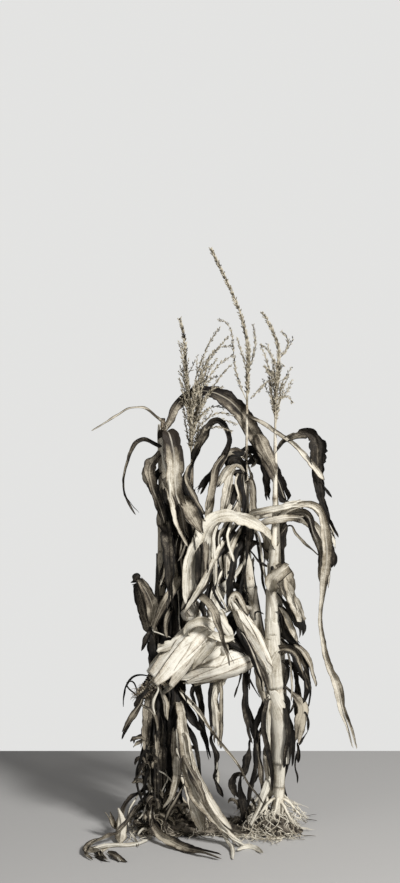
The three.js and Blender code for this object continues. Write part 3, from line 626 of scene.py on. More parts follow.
cluster("leaves_outer_tips", "leaf_dark", stalk_outer, 350, 255, [
    (345, [10, 9, 8, 8, 5], 25, [(49, 14, -168, -78), (40, -60, -170, -80), (40, -92, -170, -80)],
     [0.4, 0.3, 0.5], dict(curl=90)),
    (290, [12, 14, 14, 4], 20, [(29, 32, -142), (51, -58, -169, -70), (56, -67, -180, -90)],
     [0.2, -0.2, 0.3]),
    (270, [14, 18, 18, 12], 15, [(43, 45, -96), (55, -77, -123, -30), (45, -90, -120, -30)],
     [0.1, -0.2, -0.1], dict(ragged=0.5)),
])
cluster("leaves_outer_low", "leaf_dark", stalk_outer, 246, 170, [
    (205, [10, 9, 9, 8, 6], 20, [(27, 12, -130), (97, -79, -164, -74), (61, -107, -164, -80)],
     [0.4, 0.5, 0.5], dict(curl=90)),
    (240, [24, 36, 40, 34, 14], 20, [(49, 39, -52, 38), (87, -79, -120, -30), (113, -82, -90)],
     [0.1, 0.0, 0.2, 0.3], dict(crumple=4, ripple=5, ragged=0.5, tears=((-0.3, 0.35), (0.35, 0.45)))),
])

# Leaves of the left stalk
# Dead leaves that still hold at the rings of this thin dark cane. One arches to the right under the flag
# leaf, and the lowest run down to the floor at the front.
leaf("leaf_inner_arch", "leaf_dark", stalk_left, 800, [14, 26, 26, 20, 14, 22, 14, 6], 15,
     [(95, 70, -25, 60), (44, 45, -9, 80), (44, -53, 0, 90), (41, -103, 0, 90), (55, -125, 0, 90),
      (57, -120, -10, 90)], [0.1, 0.0, 0.3, 0.3, 0.1, 0.1], curl=50)
leaf("leaf_folded", "leaf_dark", stalk_left, 775, [12, 20, 20, 16, 8], 45,
     [(45, 22, -108), (51, -60, -46, 40), (53, -60, -4, 80), (55, -78, 10, 90)], [0.3, 0.2, 0.3, 0.4])
leaf("leaf_round_flap", "leaf_tan", stalk_left, 715, [16, 40, 40, 26], 10,
     [(80, 21, -99), (53, -38, -65, 20), (42, -56, 7, 90)], [0.3, 0.0, 0.1, 0.4])
leaf("leaf_front_pointed", "leaf_tan", stalk_left, 545, [20, 24, 24, 22, 14, 4], 15,
     [(85, -5, -74), (64, -15, -52, 30), (58, -68, -28, 60), (71, -76, 0, 90)], [0.2, 0.0, 0.1, 0.3, 0.5],
     curl=50)
leaf("leaf_drop_dark", "leaf_dark", stalk_left, 330, [16, 26, 20, 16, 16, 8], 20,
     [(45, 30, -20, 60), (62, -75, 0, 80), (60, -85, 0, 90), (80, -78, 0, 90)], [0.2, 0.2, 0.4, 0.4])
leaf("leaf_stick", "leaf_pale", stalk_left, 300, [14, 17, 15, 8, 5], 25,
     [(53, 30, -77), (107, -44, -34, 60), (61, -47, -20, 70), (147, -58, 0, 90)], [0.0, 0.0, 0.3, 0.9],
     curl=70, ripple=0.5, crumple=0.6, wander=4)
leaf("leaf_lower_bright", "leaf_pale", stalk_left, 262, [8, 18, 30, 36, 34, 22, 14], 14,
     [(83, 37, -81, 10), (101, -59, -75, 15), (72, -81, -60, 30), (86, -66, -10, 70), (116, -42, -5, 30)],
     [0.2, 0.3, 0.3, 0.2, 0.0], curl=25, wander=8, skew=-0.35)
leaf("leaf_lower_pale", "leaf_pale", stalk_left, 149, [20, 36, 44, 36, 16], 15,
     [(56, 32, -58, 30), (73, -74, -48, 40), (109, -74, -10, 80)], [0.2, 0.1, 0.0, 0.0, 0.2], crumple=4,
     ripple=5)

# Leaves of the centre stalk
# Narrower dry leaves, held at the rings of the cane that rises highest. Short straps hang close to it in
# front and behind, and a pale band crosses to the right.
leaf("leaf_top_right", "leaf_pale", stalk_centre, 925, [10, 12, 11, 13, 18, 12], 20,
     [(86, -27, -25, 70), (65, -35, -24, 70), (80, -51, -14, 75)], [0.4, 0.3, 0.1, 0.1], wander=5)
leaf("leaf_centre_ribbon", "leaf_tan", stalk_centre, 824, [24, 22, 20, 20, 20, 12], 15,
     [(52, 38, -151, -60), (54, -51, -154, -64), (70, -82, -150, -60), (89, -79, -165, -75)],
     [0.5, 0.2, 0.1, 0.0, 0.1], curl=30)
leaf("leaf_centre_crumple", "leaf_dark", stalk_centre, 818, [24, 30, 26, 12], 20,
     [(47, 34, 58, 120), (44, -49, 44, 125), (84, -83, 28, 115)], [0.3, 0.4, 0.4], crumple=5, ripple=6,
     ragged=0.6)
cluster("leaves_centre_straps", "leaf_tan", stalk_centre, 795, 735, [
    (785, [16, 20, 18, 10], 15, [(35, 39, -126, -36), (63, -85, -90), (60, -82, -80, 10)], [0.3, 0.0, 0.0]),
    (770, [14, 16, 14, 8], 15, [(24, 42, -49, 30), (35, -75, -62, 28), (77, -89, -90)], [0.2, -0.1, -0.1]),
])
leaf("leaf_centre_pale", "leaf_pale", stalk_centre, 725, [18, 24, 24, 14], 10,
     [(60, 55, 142, 50), (53, -72, 143, 50), (78, -88, 150, 60)], [0.1, 0.0, 0.0])
leaf("leaf_band_behind", "leaf_pale", stalk_centre, 690, [20, 22, 26, 26, 22, 10], 12,
     [(58, 22, 20, 100), (93, -13, 0, 88), (49, -50, -9, 80), (79, -78, -30, 60)], [0.0, 0.0, 0.0, 0.4],
     wander=5)
leaf("leaf_hang_front", "leaf_tan", stalk_centre, 617, [16, 20, 22, 20, 10], 18,
     [(78, 47, -165, -75), (45, -42, -140, -50), (66, -83, -100, -10), (61, -80, -100, -10)],
     [0.1, 0.0, 0.0, 0.1])
leaf("leaf_hang_behind", "leaf_dark", stalk_centre, 600, [16, 24, 24, 12], 15,
     [(78, 54, 139, 49), (41, -57, 150, 60), (79, -85, 100, 10), (59, -80, 100, 10)], [0.2, 0.2, 0.2])
leaf("leaf_low_curl", "leaf_dark", stalk_centre, 455, [16, 20, 14, 6], 20,
     [(103, 68, -170, -80), (67, -65, -170, -80)], [0.1, 0.3, 0.4], curl=60)
leaf("leaf_drop_pale", "leaf_pale", stalk_centre, 400, [18, 20, 20, 22, 20, 8], 12,
     [(60, 5, 150, 60), (60, -40, 178, 88), (80, -82, 180, 90), (75, -88, 180, 90)], [0.2, 0.0, -0.1, 0.0])
leaf("leaf_centre_low", "leaf_dark", stalk_centre, 350, [14, 16, 18, 20, 22, 10], 20,
     [(56, 30, -160, -70), (73, -84, -120, -30), (69, -77, -20, 70), (70, -75, -10, 80), (70, -104, 0, 90)],
     [0.2, 0.3, 0.2, 0.3, 0.4], tears=((0.2, 0.6),))

# Leaves of the right stalk
# Dry leaves at the rings of the thickest cane. Two arch out to the right and hang far down, and the
# bleached one, ribbed and wide, arches to the left over the front.
leaf("leaf_right_top", "leaf_dark", stalk_right, 843, [12, 14, 30, 52, 40, 26, 20, 13, 7], 15,
     [(46, 54, -17, 70), (68, 8, -8, 80), (105, -89, 0, 88), (46, -81, 0, 90), (90, -69, 0, 90)],
     [0.1, -0.2, 0.3, 0.3, 0.4, 0.3, 0.2, 0.2], ["leaf_right_top_rise", "leaf_right_top_fall"], curl=20,
     crumple=4, ripple=4, ragged=0.7, wander=10)
leaf("leaf_right_long", "leaf_pale", stalk_right, 683, [16, 18, 22, 34, 22, 13, 12, 24, 26, 18, 5], 12,
     [(63, 51, -31, 60), (66, 5, -9, 80), (96, -79, 0, 90), (101, -100, 0, 90), (111, -89, 0, 90),
      (124, -70, 0, 90), (130, -76, 0, 90)], [0.0, 0.0, 0.3, 0.4, 0.3, 0.2, 0.15, 0.1, 0.1, 0.1],
     ["leaf_right_long_rise", "leaf_right_long_fall"], wander=10, curl=40, skew=0.3)
leaf("leaf_right_thin", "leaf_tan", stalk_right, 649, [9, 9, 8, 5], 20,
     [(55, 45, 25, 100), (31, -62, 0, 90), (70, -43, -6, 84)], [0.3, 0.0, 0.0], curl=90)
leaf("leaf_bright_arch", "leaf_bright", stalk_right, 623, [22, 30, 33, 34, 50, 60, 30, 12], 12,
     [(72, 59, -138, -48), (95, 18, -167, -77), (64, -43, -159, -70), (76, -84, -148, -58),
      (100, -71, -180, -90)], [0.5, 0.1, -0.1, 0.0, 0.0, 0.2, 0.3],
     ["leaf_bright_arch_rise", "leaf_bright_arch_fall"], wander=10, crumple=4, pleat=2, skew=0.15,
     tears=((0.3, 0.72),))
cluster("leaves_right_flop", "leaf_tan", stalk_right, 540, 470, [
    (530, [24, 34, 34, 34, 20], 20, [(76, 68, -44, 46), (76, -73, -13, 77), (77, -73, 0, 90)],
     [0.0, -0.1, 0.0, 0.6], dict(curl=45)),
    (485, [20, 26, 24, 8], 20, [(31, 34, -23, 67), (45, -75, -15, 75), (40, -71, 0, 90)], [0.3, 0.6, 0.7]),
])
cluster("leaves_right_middle", "leaf_dark", stalk_right, 405, 350, [
    (399, [20, 26, 18, 8], 20, [(51, 26, -26, 64), (52, -61, -19, 71), (58, -76, 0, 90)], [-0.1, -0.1, 0.0],
     dict(tears=((0.0, 0.4),))),
    (363, [16, 18, 14, 30, 30, 8], 20,
     [(46, 36, 15, 100), (62, -68, 12, 100), (46, -95, 0, 90), (55, -75, -21, 80), (54, -128, 10, 90)],
     [0.2, 0.3, 0.3, -0.1, 0.0, 0.4]),
])
leaf("leaf_right_slip", "leaf_dark", stalk_right, 257, [14, 16, 14, 8], 20,
     [(41, 53, -55, 35), (71, -83, -37, 53), (76, -98, -16, 74)], [0.1, 0.2, 0.4])
leaf("leaf_right_inner", "leaf_dark", stalk_right, 280, [12, 14, 14, 15, 12, 6], 20,
     [(45, 42, -130, -40), (62, -73, -155, -65), (66, -74, -10, 80), (92, -86, 0, 90)], [0.1, 0.1, 0.3, 0.3])

# Ears
# Each ear is a cob wrapped in papery ribbed husks on a short shank. The open one has lost the tips of its
# husks and shows rows of kernels and a beard of dark silk.
HUSK_COLUMNS = 20
HUSK_ROW = 5
HUSK_WALL = 0.8
HUSK_CLEAR = 1.2
husk_finish = dried(
    "papery_husk", (0.82, 0.78, 0.68), (0.55, 0.49, 0.39), (0.08, 0.062, 0.044), 0.5,
    across=330, run=4, relief=1.8)
kernel_finish = dried(
    "dry_kernel", (0.46, 0.40, 0.30), (0.18, 0.145, 0.10), (0.02, 0.014, 0.01), 0.4, run=30, relief=0.4)
silk_finish = dried(
    "dark_silk", (0.16, 0.12, 0.08), (0.035, 0.026, 0.018), (0.008, 0.006, 0.005), 0.7, run=10, relief=0.4)


def husk_leaf(bm, path, radii, heading, spread, start, end, lift, shade, seed):
    """Adds one husk: a broad ribbed leaf that wraps the ear over an angle and narrows to a point."""
    rows = max(12, round(path.length * (end - start) / HUSK_ROW))
    frames = [path.frame(start + (end - start) * row / rows) for row in range(rows + 1)]

    def place(x, t, strip):
        point, forward, side, up = frames[round(t * rows)]
        narrowing = (1 - 0.75 * t ** 2.2) * (0.55 + 0.45 * min(1, t * 6))
        angle = radians(heading + x * spread * narrowing + 10 * noise.noise(Vector((t * 3, seed, 0))))
        out = side * cos(angle) + up * sin(angle)
        radius = along(radii, start + (end - start) * t) + HUSK_CLEAR + lift * t ** 3
        radius += 1.2 * noise.noise(Vector((x * 4, t * 4, seed)))
        radius += 0.8 * noise.noise(Vector((x * 13, t * 3, seed)))
        radius += 2.2 * abs(x) ** 5 - 1.4 * abs(noise.noise(Vector((x * 6, t * 1.5, seed + 30))))
        return point + out * radius

    # The tone paints each husk darker along its edges, as painted shade in the creases where husks lap; it is
    # also a little darker on one side and towards its tip.
    grid(
        bm, HUSK_COLUMNS, rows, place, lambda x, t: shade + 0.6 * abs(x) ** 9 + 0.25 * t ** 5 + 0.1 * x,
        2 * max(radii) * radians(spread), path.length * (end - start), seed)


KERNEL_ROWS = 13
KERNEL_PITCH = 5.2
KERNEL_HALF_LENGTH = 2.5
KERNEL_DEPTH = 4.2
KERNEL_SEAT = 0.9
KERNELS_LOST = 0.08
KERNEL_SHADES = (-0.2, 1.9)
SILK_RADII = [0.7, 0.5, 0.2]
SILK_SEED = 5


def kernels(bm, path, radii, start, end, seed):
    """Adds rows of kernels round a stretch of cob, each a small rounded wedge. Some have dropped out."""
    dice = Random(seed)
    count = round(path.length * (end - start) / KERNEL_PITCH)
    part = fresh()
    shade = part.verts.layers.float["tone"]
    for ring in range(count):
        t = start + (end - start) * ring / count
        point, forward, side, up = path.frame(t)
        radius = along(radii, t) * KERNEL_SEAT
        for row in range(KERNEL_ROWS):
            if dice.random() < KERNELS_LOST:
                continue
            angle = 2 * pi * row / KERNEL_ROWS + 0.1 * dice.random()
            out = side * cos(angle) + up * sin(angle)
            across = forward.cross(out)
            turn = Matrix((across, forward, out)).transposed().to_4x4()
            spot = Matrix.Translation(point + out * radius)
            size = Matrix.Diagonal((radius * pi / KERNEL_ROWS * 0.95, KERNEL_HALF_LENGTH, KERNEL_DEPTH, 1))
            made = bmesh.ops.create_icosphere(part, subdivisions=2, radius=1, matrix=spot @ turn @ size)
            darkness = dice.uniform(*KERNEL_SHADES)
            for vert in made["verts"]:
                vert[shade] = darkness
    gather(bm, part)


def silk_strands(bm, path, count):
    """Adds a beard of short bent strands at the end of an ear."""
    dice = Random(SILK_SEED)
    for _ in range(count):
        start = path.point(dice.uniform(0.9, 0.99)) + Vector([dice.uniform(-6, 6) for _ in range(3)])
        legs = [
            (dice.uniform(8, 14), dice.uniform(-60, 30), dice.uniform(140, 230)),
            (dice.uniform(6, 14), dice.uniform(-80, 0), dice.uniform(120, 260)),
        ]
        limb(bm, route(start, legs), SILK_RADII, 4, 8, dice.uniform(0.2, 0.6))


def ear(name, stalk, at, legs, radii, husks, cob=None, silk=0):
    """An ear on its shank, with its husks, each (heading, spread, start, end, lift, shade). cob is the
    stretch on which kernels show, where the core is slimmer, and silk the number of strands."""
    path = leaf_paths[name] = route(stalk.point(stalk.share_at(at)), legs)
    bm = fresh()
    core = [radius - 1 for radius in radii]
    if cob:
        core = [radius * (0.8 if index / len(core) > 0.3 else 1) for index, radius in enumerate(core)]
    limb(bm, path, core, 24, 70, 0.1, len(name), 0.08)
    for number, husk in enumerate(husks):
        husk_leaf(bm, path, radii, *husk, 7 * number + len(name))
    piece(bm, name + "_husks", husk_finish, "husk", HUSK_WALL, [name])
    if cob:
        bm = fresh()
        kernels(bm, path, radii, *cob, len(name))
        piece(bm, name + "_kernels", kernel_finish, "husk")
    if silk:
        bm = fresh()
        silk_strands(bm, path, silk)
        piece(bm, name + "_silk", silk_finish, "husk")


ear("ear_right", stalk_right, 343, [(66, 59, -150), (64, 59, -148), (47, 58, -156), (34, 60, -156)],
    [8, 11, 15, 17, 17, 14, 9, 3], [
        (0, 80, 0.05, 0.9, 1, 0.0), (120, 80, 0.08, 0.95, 1, 0.05), (240, 80, 0.05, 0.98, 1, 0.0),
        (60, 70, 0.1, 0.99, 2, 0.05), (180, 75, 0.0, 0.85, 3, 0.0), (300, 70, 0.0, 0.93, 2, 0.1)])
ear("ear_open", stalk_centre, 490,
    [(56, 15, -133), (51, -8, -143), (46, -38, -155), (95, -47, -167), (73, -46, -169), (41, -38, -171)],
    [6, 6, 6, 7, 11, 26, 31, 31, 29, 25, 15, 8], [
        (0, 85, 0.36, 0.8, 2, 0.0), (90, 80, 0.38, 0.86, 5, 0.0), (180, 80, 0.36, 0.84, 8, 0.05),
        (270, 80, 0.38, 0.84, 6, 0.0), (40, 60, 0.4, 0.85, 12, 0.05), (140, 60, 0.4, 0.83, 7, 0.1),
        (230, 65, 0.38, 0.86, 14, 0.0), (320, 60, 0.4, 0.82, 12, 0.1), (10, 40, 0.3, 0.87, 18, 0.1),
        (255, 40, 0.34, 0.88, 16, 0.2)], cob=(0.74, 1.0), silk=110)
ear("ear_low", stalk_centre, 411,
    [(40, -22, -116), (48, -15, -154), (59, -10, -165), (51, -17, -171), (25, -18, -175)],
    [7, 14, 26, 29, 27, 22, 13, 3], [
        (0, 85, 0.1, 0.97, 2, 0.0), (90, 80, 0.5, 0.99, 2, 0.05), (180, 90, 0.12, 0.98, 1, 0.0),
        (270, 90, 0.1, 0.96, 6, 0.0), (220, 75, 0.15, 0.9, 9, 0.05), (320, 70, 0.12, 0.93, 8, 0.0),
        (250, 45, 0.3, 0.86, 14, 0.3)],
    cob=(0.3, 0.62))
ear("ear_left", stalk_left, 512, [(30, -10, -70), (35, -20, -80), (25, -25, -86)], [8, 19, 22, 21, 8], [
    (0, 80, 0.1, 1.0, 1, 0.1), (90, 80, 0.1, 1.0, 1, 0.15),
    (180, 80, 0.1, 1.0, 1, 0.05), (270, 80, 0.1, 1.0, 2, 0.1)])

# Leaves and torn strips that show in front
# Smaller leaves hang in front of the bundle, some only as strips of what they were. Each grows out of a
# stalk, a larger leaf or an ear, and runs through spots, each the column and row of the picture at which it
# shows and its depth behind the middle of the plant in millimetres. Its widths lie evenly along it.
PICTURE_WIDTH = 400
PICTURE_HEIGHT = 883
SENSOR = 36
DROP = 10
SLOPE = 0.7
LYING_HEIGHT = 5
FOOT_WIDTH = 0.7
FOOT_STEPS = 200
STRIP_TURN = 25
FACING = Vector((0, -1, 0.3))
STRIP_SHAPE = {"fold": 15, "curl": 25, "wander": 14}


def seen(column, row, depth=None):
    """The point that shows at a column and row of the picture, at a depth behind the middle of the plant
    or, with none given, where a leaf lies on the floor."""
    focal = CAMERA_LENS / SENSOR * PICTURE_HEIGHT
    across = (column - PICTURE_WIDTH / 2) / focal
    rise = (PICTURE_HEIGHT / 2 - row) / focal
    ray = Vector((
        across,
        cos(CAMERA_TILT) + rise * sin(CAMERA_TILT),
        rise * cos(CAMERA_TILT) - sin(CAMERA_TILT),
    ))
    eye = CAMERA_PLACE / MM
    if depth is None:
        return eye + ray * ((LYING_HEIGHT - eye.z) / ray.z)
    return eye + ray * ((depth - eye.y) / ray.y)


def foot(carrier, first, second):
    """The point of its carrier from which a strip runs to its first spot: the nearest one of a leaf or an
    ear, and on a stalk one that lies higher where the strip then falls, and lower where it rises."""
    if isinstance(carrier, str):
        points = [leaf_paths[carrier].point(step / FOOT_STEPS) for step in range(FOOT_STEPS + 1)]
        return min(points, key=lambda point: (point - first).length)
    level = carrier.point(carrier.share_at(first.z))
    above = DROP + SLOPE * (first - level).length
    return carrier.point(carrier.share_at(first.z + (above if second.z < first.z else -above)))


def strips(name, entries):
    """Adds leaves, each (shade, carrier, spots, widths, tones) and what its shape has of its own, as a piece
    per shade. The carrier is a stalk, the name of a leaf or ear, "before" for the strip before it in the
    list, or None for one that lies on the floor."""
    global leaf_seed
    sheets = {}
    for shade, carrier, spots, widths, tones, *shape in entries:
        leaf_seed += 1
        corners = [seen(*spot) for spot in spots]
        if carrier:
            corners.insert(0, foot(carrier, corners[0], corners[1]))
            widths = [widths[0] * FOOT_WIDTH, *widths]
        turn = radians(Random(leaf_seed).uniform(-STRIP_TURN, STRIP_TURN) + 180 * (leaf_seed % 2))
        line, _ = rounded(corners)
        path = Path(line, lambda t, forward: Matrix.Rotation(turn, 3, forward) @ forward.cross(FACING))
        leaf_paths["before"] = path
        if shade not in sheets:
            sheets[shade] = fresh()
        blade(sheets[shade], path, widths, tones=tones, seed=leaf_seed, **{**STRIP_SHAPE, **dict(*shape)})
    for shade, bm in sheets.items():
        look = "leaf_" + shade
        piece(bm, name + "_" + look, leaf_looks[look], look, BLADE_WALL)


# Round the tops of the outer and left stalks: a stiff folded leaf, with dark torn ones under it
left_top_strips = [
    ("tan", stalk_outer,
     [(157, 457, -26), (150, 463, -34), (148, 474, -38), (153, 487, -36), (159, 495, -30)],
     [14, 30, 36, 26, 8], [0.9, 0.1, 0.0, 0.7], dict(curl=10, wander=6)),
    ("dark", stalk_outer, [(151, 482, -26), (156, 492, -30), (162, 503, -30)], [20, 24, 10], [0.9]),
    ("bright", stalk_outer,
     [(163, 454, -58), (167, 468, -68), (169, 486, -76), (171, 502, -78), (177, 520, -74)],
     [4, 9, 10, 9, 5], [0.2, 0.1, 0.2], dict(wander=8)),
    ("tan", stalk_left, [(184, 474, -45), (189, 486, -60), (196, 500, -70), (204, 514, -70)],
     [8, 11, 12, 6], [0.3, 0.0, 0.5]),
    ("dark", stalk_left, [(183, 482, -40), (188, 495, -52), (196, 508, -60), (203, 520, -60)],
     [18, 26, 28, 12], [0.9]),
    ("tan", stalk_left, [(183, 496, -50), (188, 508, -66), (195, 517, -70), (202, 523, -64)],
     [14, 30, 28, 8], [0.3, 0.4, 0.1], dict(tip=0.8)),
    ("bright", stalk_left, [(184, 518, -68), (190, 524, -72), (197, 528, -68)], [6, 9, 4], [0.0]),
    ("dark", stalk_outer, [(163, 496, -30), (165, 512, -36), (172, 528, -40), (180, 540, -40)],
     [14, 18, 20, 10], [0.8]),
    ("dark", stalk_left, [(176, 492, -36), (180, 508, -42), (184, 522, -44), (190, 536, -42)],
     [14, 20, 22, 12], [0.8]),
    ("dark", stalk_left, [(186, 520, -42), (190, 535, -48), (186, 552, -48), (180, 570, -42)],
     [20, 30, 28, 14], [1.0, 0.8, 1.0]),
    ("dark", stalk_left, [(196, 522, -40), (200, 532, -46), (194, 548, -46), (186, 565, -40)],
     [16, 24, 22, 12], [0.9]),
    ("dark", stalk_outer, [(168, 528, -35), (170, 550, -40), (164, 570, -40), (158, 588, -34)],
     [18, 22, 20, 10], [0.8, 0.9, 0.7]),
    ("dark", stalk_left, [(174, 545, -30), (172, 565, -36), (178, 585, -36), (180, 612, -30)],
     [20, 26, 24, 12], [1.0, 0.7, 1.0]),
    ("dark", stalk_left, [(183, 560, -36), (184, 585, -40), (182, 608, -40), (185, 632, -34)],
     [12, 18, 18, 10], [0.8]),
    ("tan", stalk_left, [(172, 556, -44), (175, 566, -50), (177, 581, -48)], [16, 24, 5], [0.5, 0.6]),
    ("pale", stalk_left, [(170, 535, -44), (168, 552, -46), (163, 572, -44), (160, 586, -40)],
     [3, 5, 5, 3], [0.3]),
    ("pale", stalk_left, [(177, 536, -46), (176, 552, -48), (171, 568, -46)], [3, 5, 3], [0.5]),
    ("tan", stalk_outer, [(166, 520, -44), (168, 538, -50), (166, 560, -52), (162, 584, -46)],
     [6, 10, 11, 5], [0.4, 0.1, 0.5], dict(curl=50)),
    ("tan", stalk_left, [(181, 540, -50), (180, 556, -56), (184, 574, -56), (183, 594, -50)],
     [5, 9, 9, 4], [0.2, 0.6], dict(curl=50)),
    ("pale", stalk_left, [(188, 540, -54), (184, 552, -60), (178, 562, -58)], [4, 8, 4], [0.3]),
]
strips("strips_left_top", left_top_strips)
# From the bend of the inner arch and the top of the centre stalk: short dark and pale straps
centre_top_strips = [
    ("dark", "leaf_inner_arch", [(222, 458, -4), (216, 466, -14), (206, 478, -20), (196, 489, -20)],
     [18, 22, 22, 10], [0.5, 0.8, 0.6], dict(crumple=5)),
    ("tan", "leaf_inner_arch",
     [(224, 456, -16), (217, 464, -26), (213, 478, -30), (210, 492, -28), (206, 510, -22)],
     [16, 24, 22, 18, 10], [0.3, 0.6, 0.1, 0.1], dict(skew=0.2)),
    ("dark", stalk_centre,
     [(226, 464, 10), (231, 452, 4), (240, 453, 8), (248, 449, 48), (257, 451, 50), (263, 463, 44)],
     [14, 20, 20, 20, 22, 16], [1.0], dict(tip=0.5, wander=25)),
    ("dark", stalk_centre, [(240, 460, -4), (232, 458, -8), (228, 466, -8)], [14, 22, 12], [0.8]),
    ("pale", stalk_centre,
     [(246, 472, 6), (238, 462, -2), (230, 466, -6), (222, 476, -8), (217, 486, -6)],
     [6, 12, 20, 24, 8], [0.4, 0.5, 0.2, 0.1]),
    ("dark", stalk_centre, [(246, 473, 8), (236, 471, 4), (226, 478, 0), (217, 488, -4)],
     [6, 10, 10, 5], [0.8]),
    ("tan", stalk_centre, [(250, 456, 52), (256, 462, 54), (251, 468, 50)], [8, 18, 10], [0.2]),
    ("pale", stalk_centre, [(231, 472, -4), (228, 486, -12), (224, 500, -18), (222, 519, -18)],
     [8, 24, 20, 8], [0.1, -0.2, 0.1], dict(curl=15)),
    ("dark", stalk_centre, [(238, 474, 0), (236, 490, -6), (232, 504, -10), (228, 514, -8)],
     [8, 14, 14, 6], [0.8]),
    ("dark", stalk_centre, [(241, 476, 4), (243, 490, 0), (244, 504, 0), (243, 519, 0)],
     [8, 12, 12, 8], [0.8]),
    ("pale", stalk_centre, [(244, 476, 4), (245, 495, 2), (244, 513, 2)], [5, 7, 5], [0.2]),
    ("pale", stalk_centre, [(234, 480, -4), (238, 492, -8), (241, 506, -6)], [5, 7, 4], [0.1]),
    ("pale", stalk_centre, [(238, 502, -6), (233, 509, -10), (229, 516, -8)], [3, 6, 4], [0.2]),
    ("pale", stalk_centre, [(252, 474, 50), (252, 486, 54), (252, 498, 54), (250, 512, 48)],
     [8, 14, 14, 10], [0.35], dict(ragged=0.9, tip=0.4)),
]
strips("strips_centre_top", centre_top_strips)
# Across the right stalk and over to the right: pale bands, with dark strips between them for their
# undersides, whose darkness is painted shade
right_top_strips = [
    ("bright", stalk_right,
     [(278, 510, -16), (286, 506, -22), (297, 504, -22), (311, 503, -18), (322, 513, -14), (329, 529, -10),
      (335, 548, -6)],
     [12, 16, 18, 20, 24, 20, 10], [0.0, 0.2, 0.0, 0.0, 0.1, 0.2], dict(wander=8, skew=0.2)),
    ("pale", stalk_right,
     [(278, 519, 4), (287, 517, 6), (298, 514, 6), (307, 514, 4), (313, 526, 2), (318, 542, 2),
      (320, 560, 4), (321, 582, 6)],
     [18, 22, 22, 18, 20, 22, 18, 10], [0.1, 0.1, 0.3, 1.1, 0.8, 0.7, 0.6, 0.5], dict(wander=8)),
    ("dark", stalk_right, [(300, 512, 12), (305, 519, 12), (311, 528, 10)], [6, 20, 8], [1.0]),
    ("dark", "leaf_right_long", [(325, 535, -16), (329, 546, -14), (333, 557, -14), (331, 570, -12)],
     [10, 24, 22, 6], [0.8]),
    ("pale", "leaf_right_long", [(326, 534, -16), (324, 552, -18), (327, 568, -16), (326, 584, -14)],
     [5, 8, 8, 4], [0.2]),
    ("pale", "leaf_right_long", [(330, 538, -17), (331, 556, -18), (329, 572, -16), (329, 588, -14)],
     [4, 7, 6, 3], [0.2]),
    ("dark", "leaf_right_long", [(332, 548, -15), (337, 560, -14), (334, 567, -14)], [6, 14, 6], [0.8]),
    ("dark", "leaf_right_top", [(321, 482, -17), (325, 490, -20), (331, 498, -18)], [4, 8, 3], [0.6]),
    ("dark", "leaf_right_top", [(318, 492, -17), (322, 508, -20), (328, 522, -19), (331, 536, -17)],
     [8, 14, 12, 4], [0.5, 0.9, 0.5]),
    ("bright", stalk_centre,
     [(250, 513, -8), (264, 511, -24), (280, 508, -30), (293, 505, -26), (303, 505, -16)],
     [12, 20, 18, 16, 14], [0.1, 0.3, 0.0, 0.1], dict(wander=6, tip=0.3)),
    ("pale", stalk_centre, [(262, 521, -12), (276, 519, -24), (290, 517, -24), (303, 518, -12)],
     [10, 20, 22, 16], [0.2, 0.0, 0.0, 0.8], dict(wander=6, tip=0.3)),
]
strips("strips_right_top", right_top_strips)
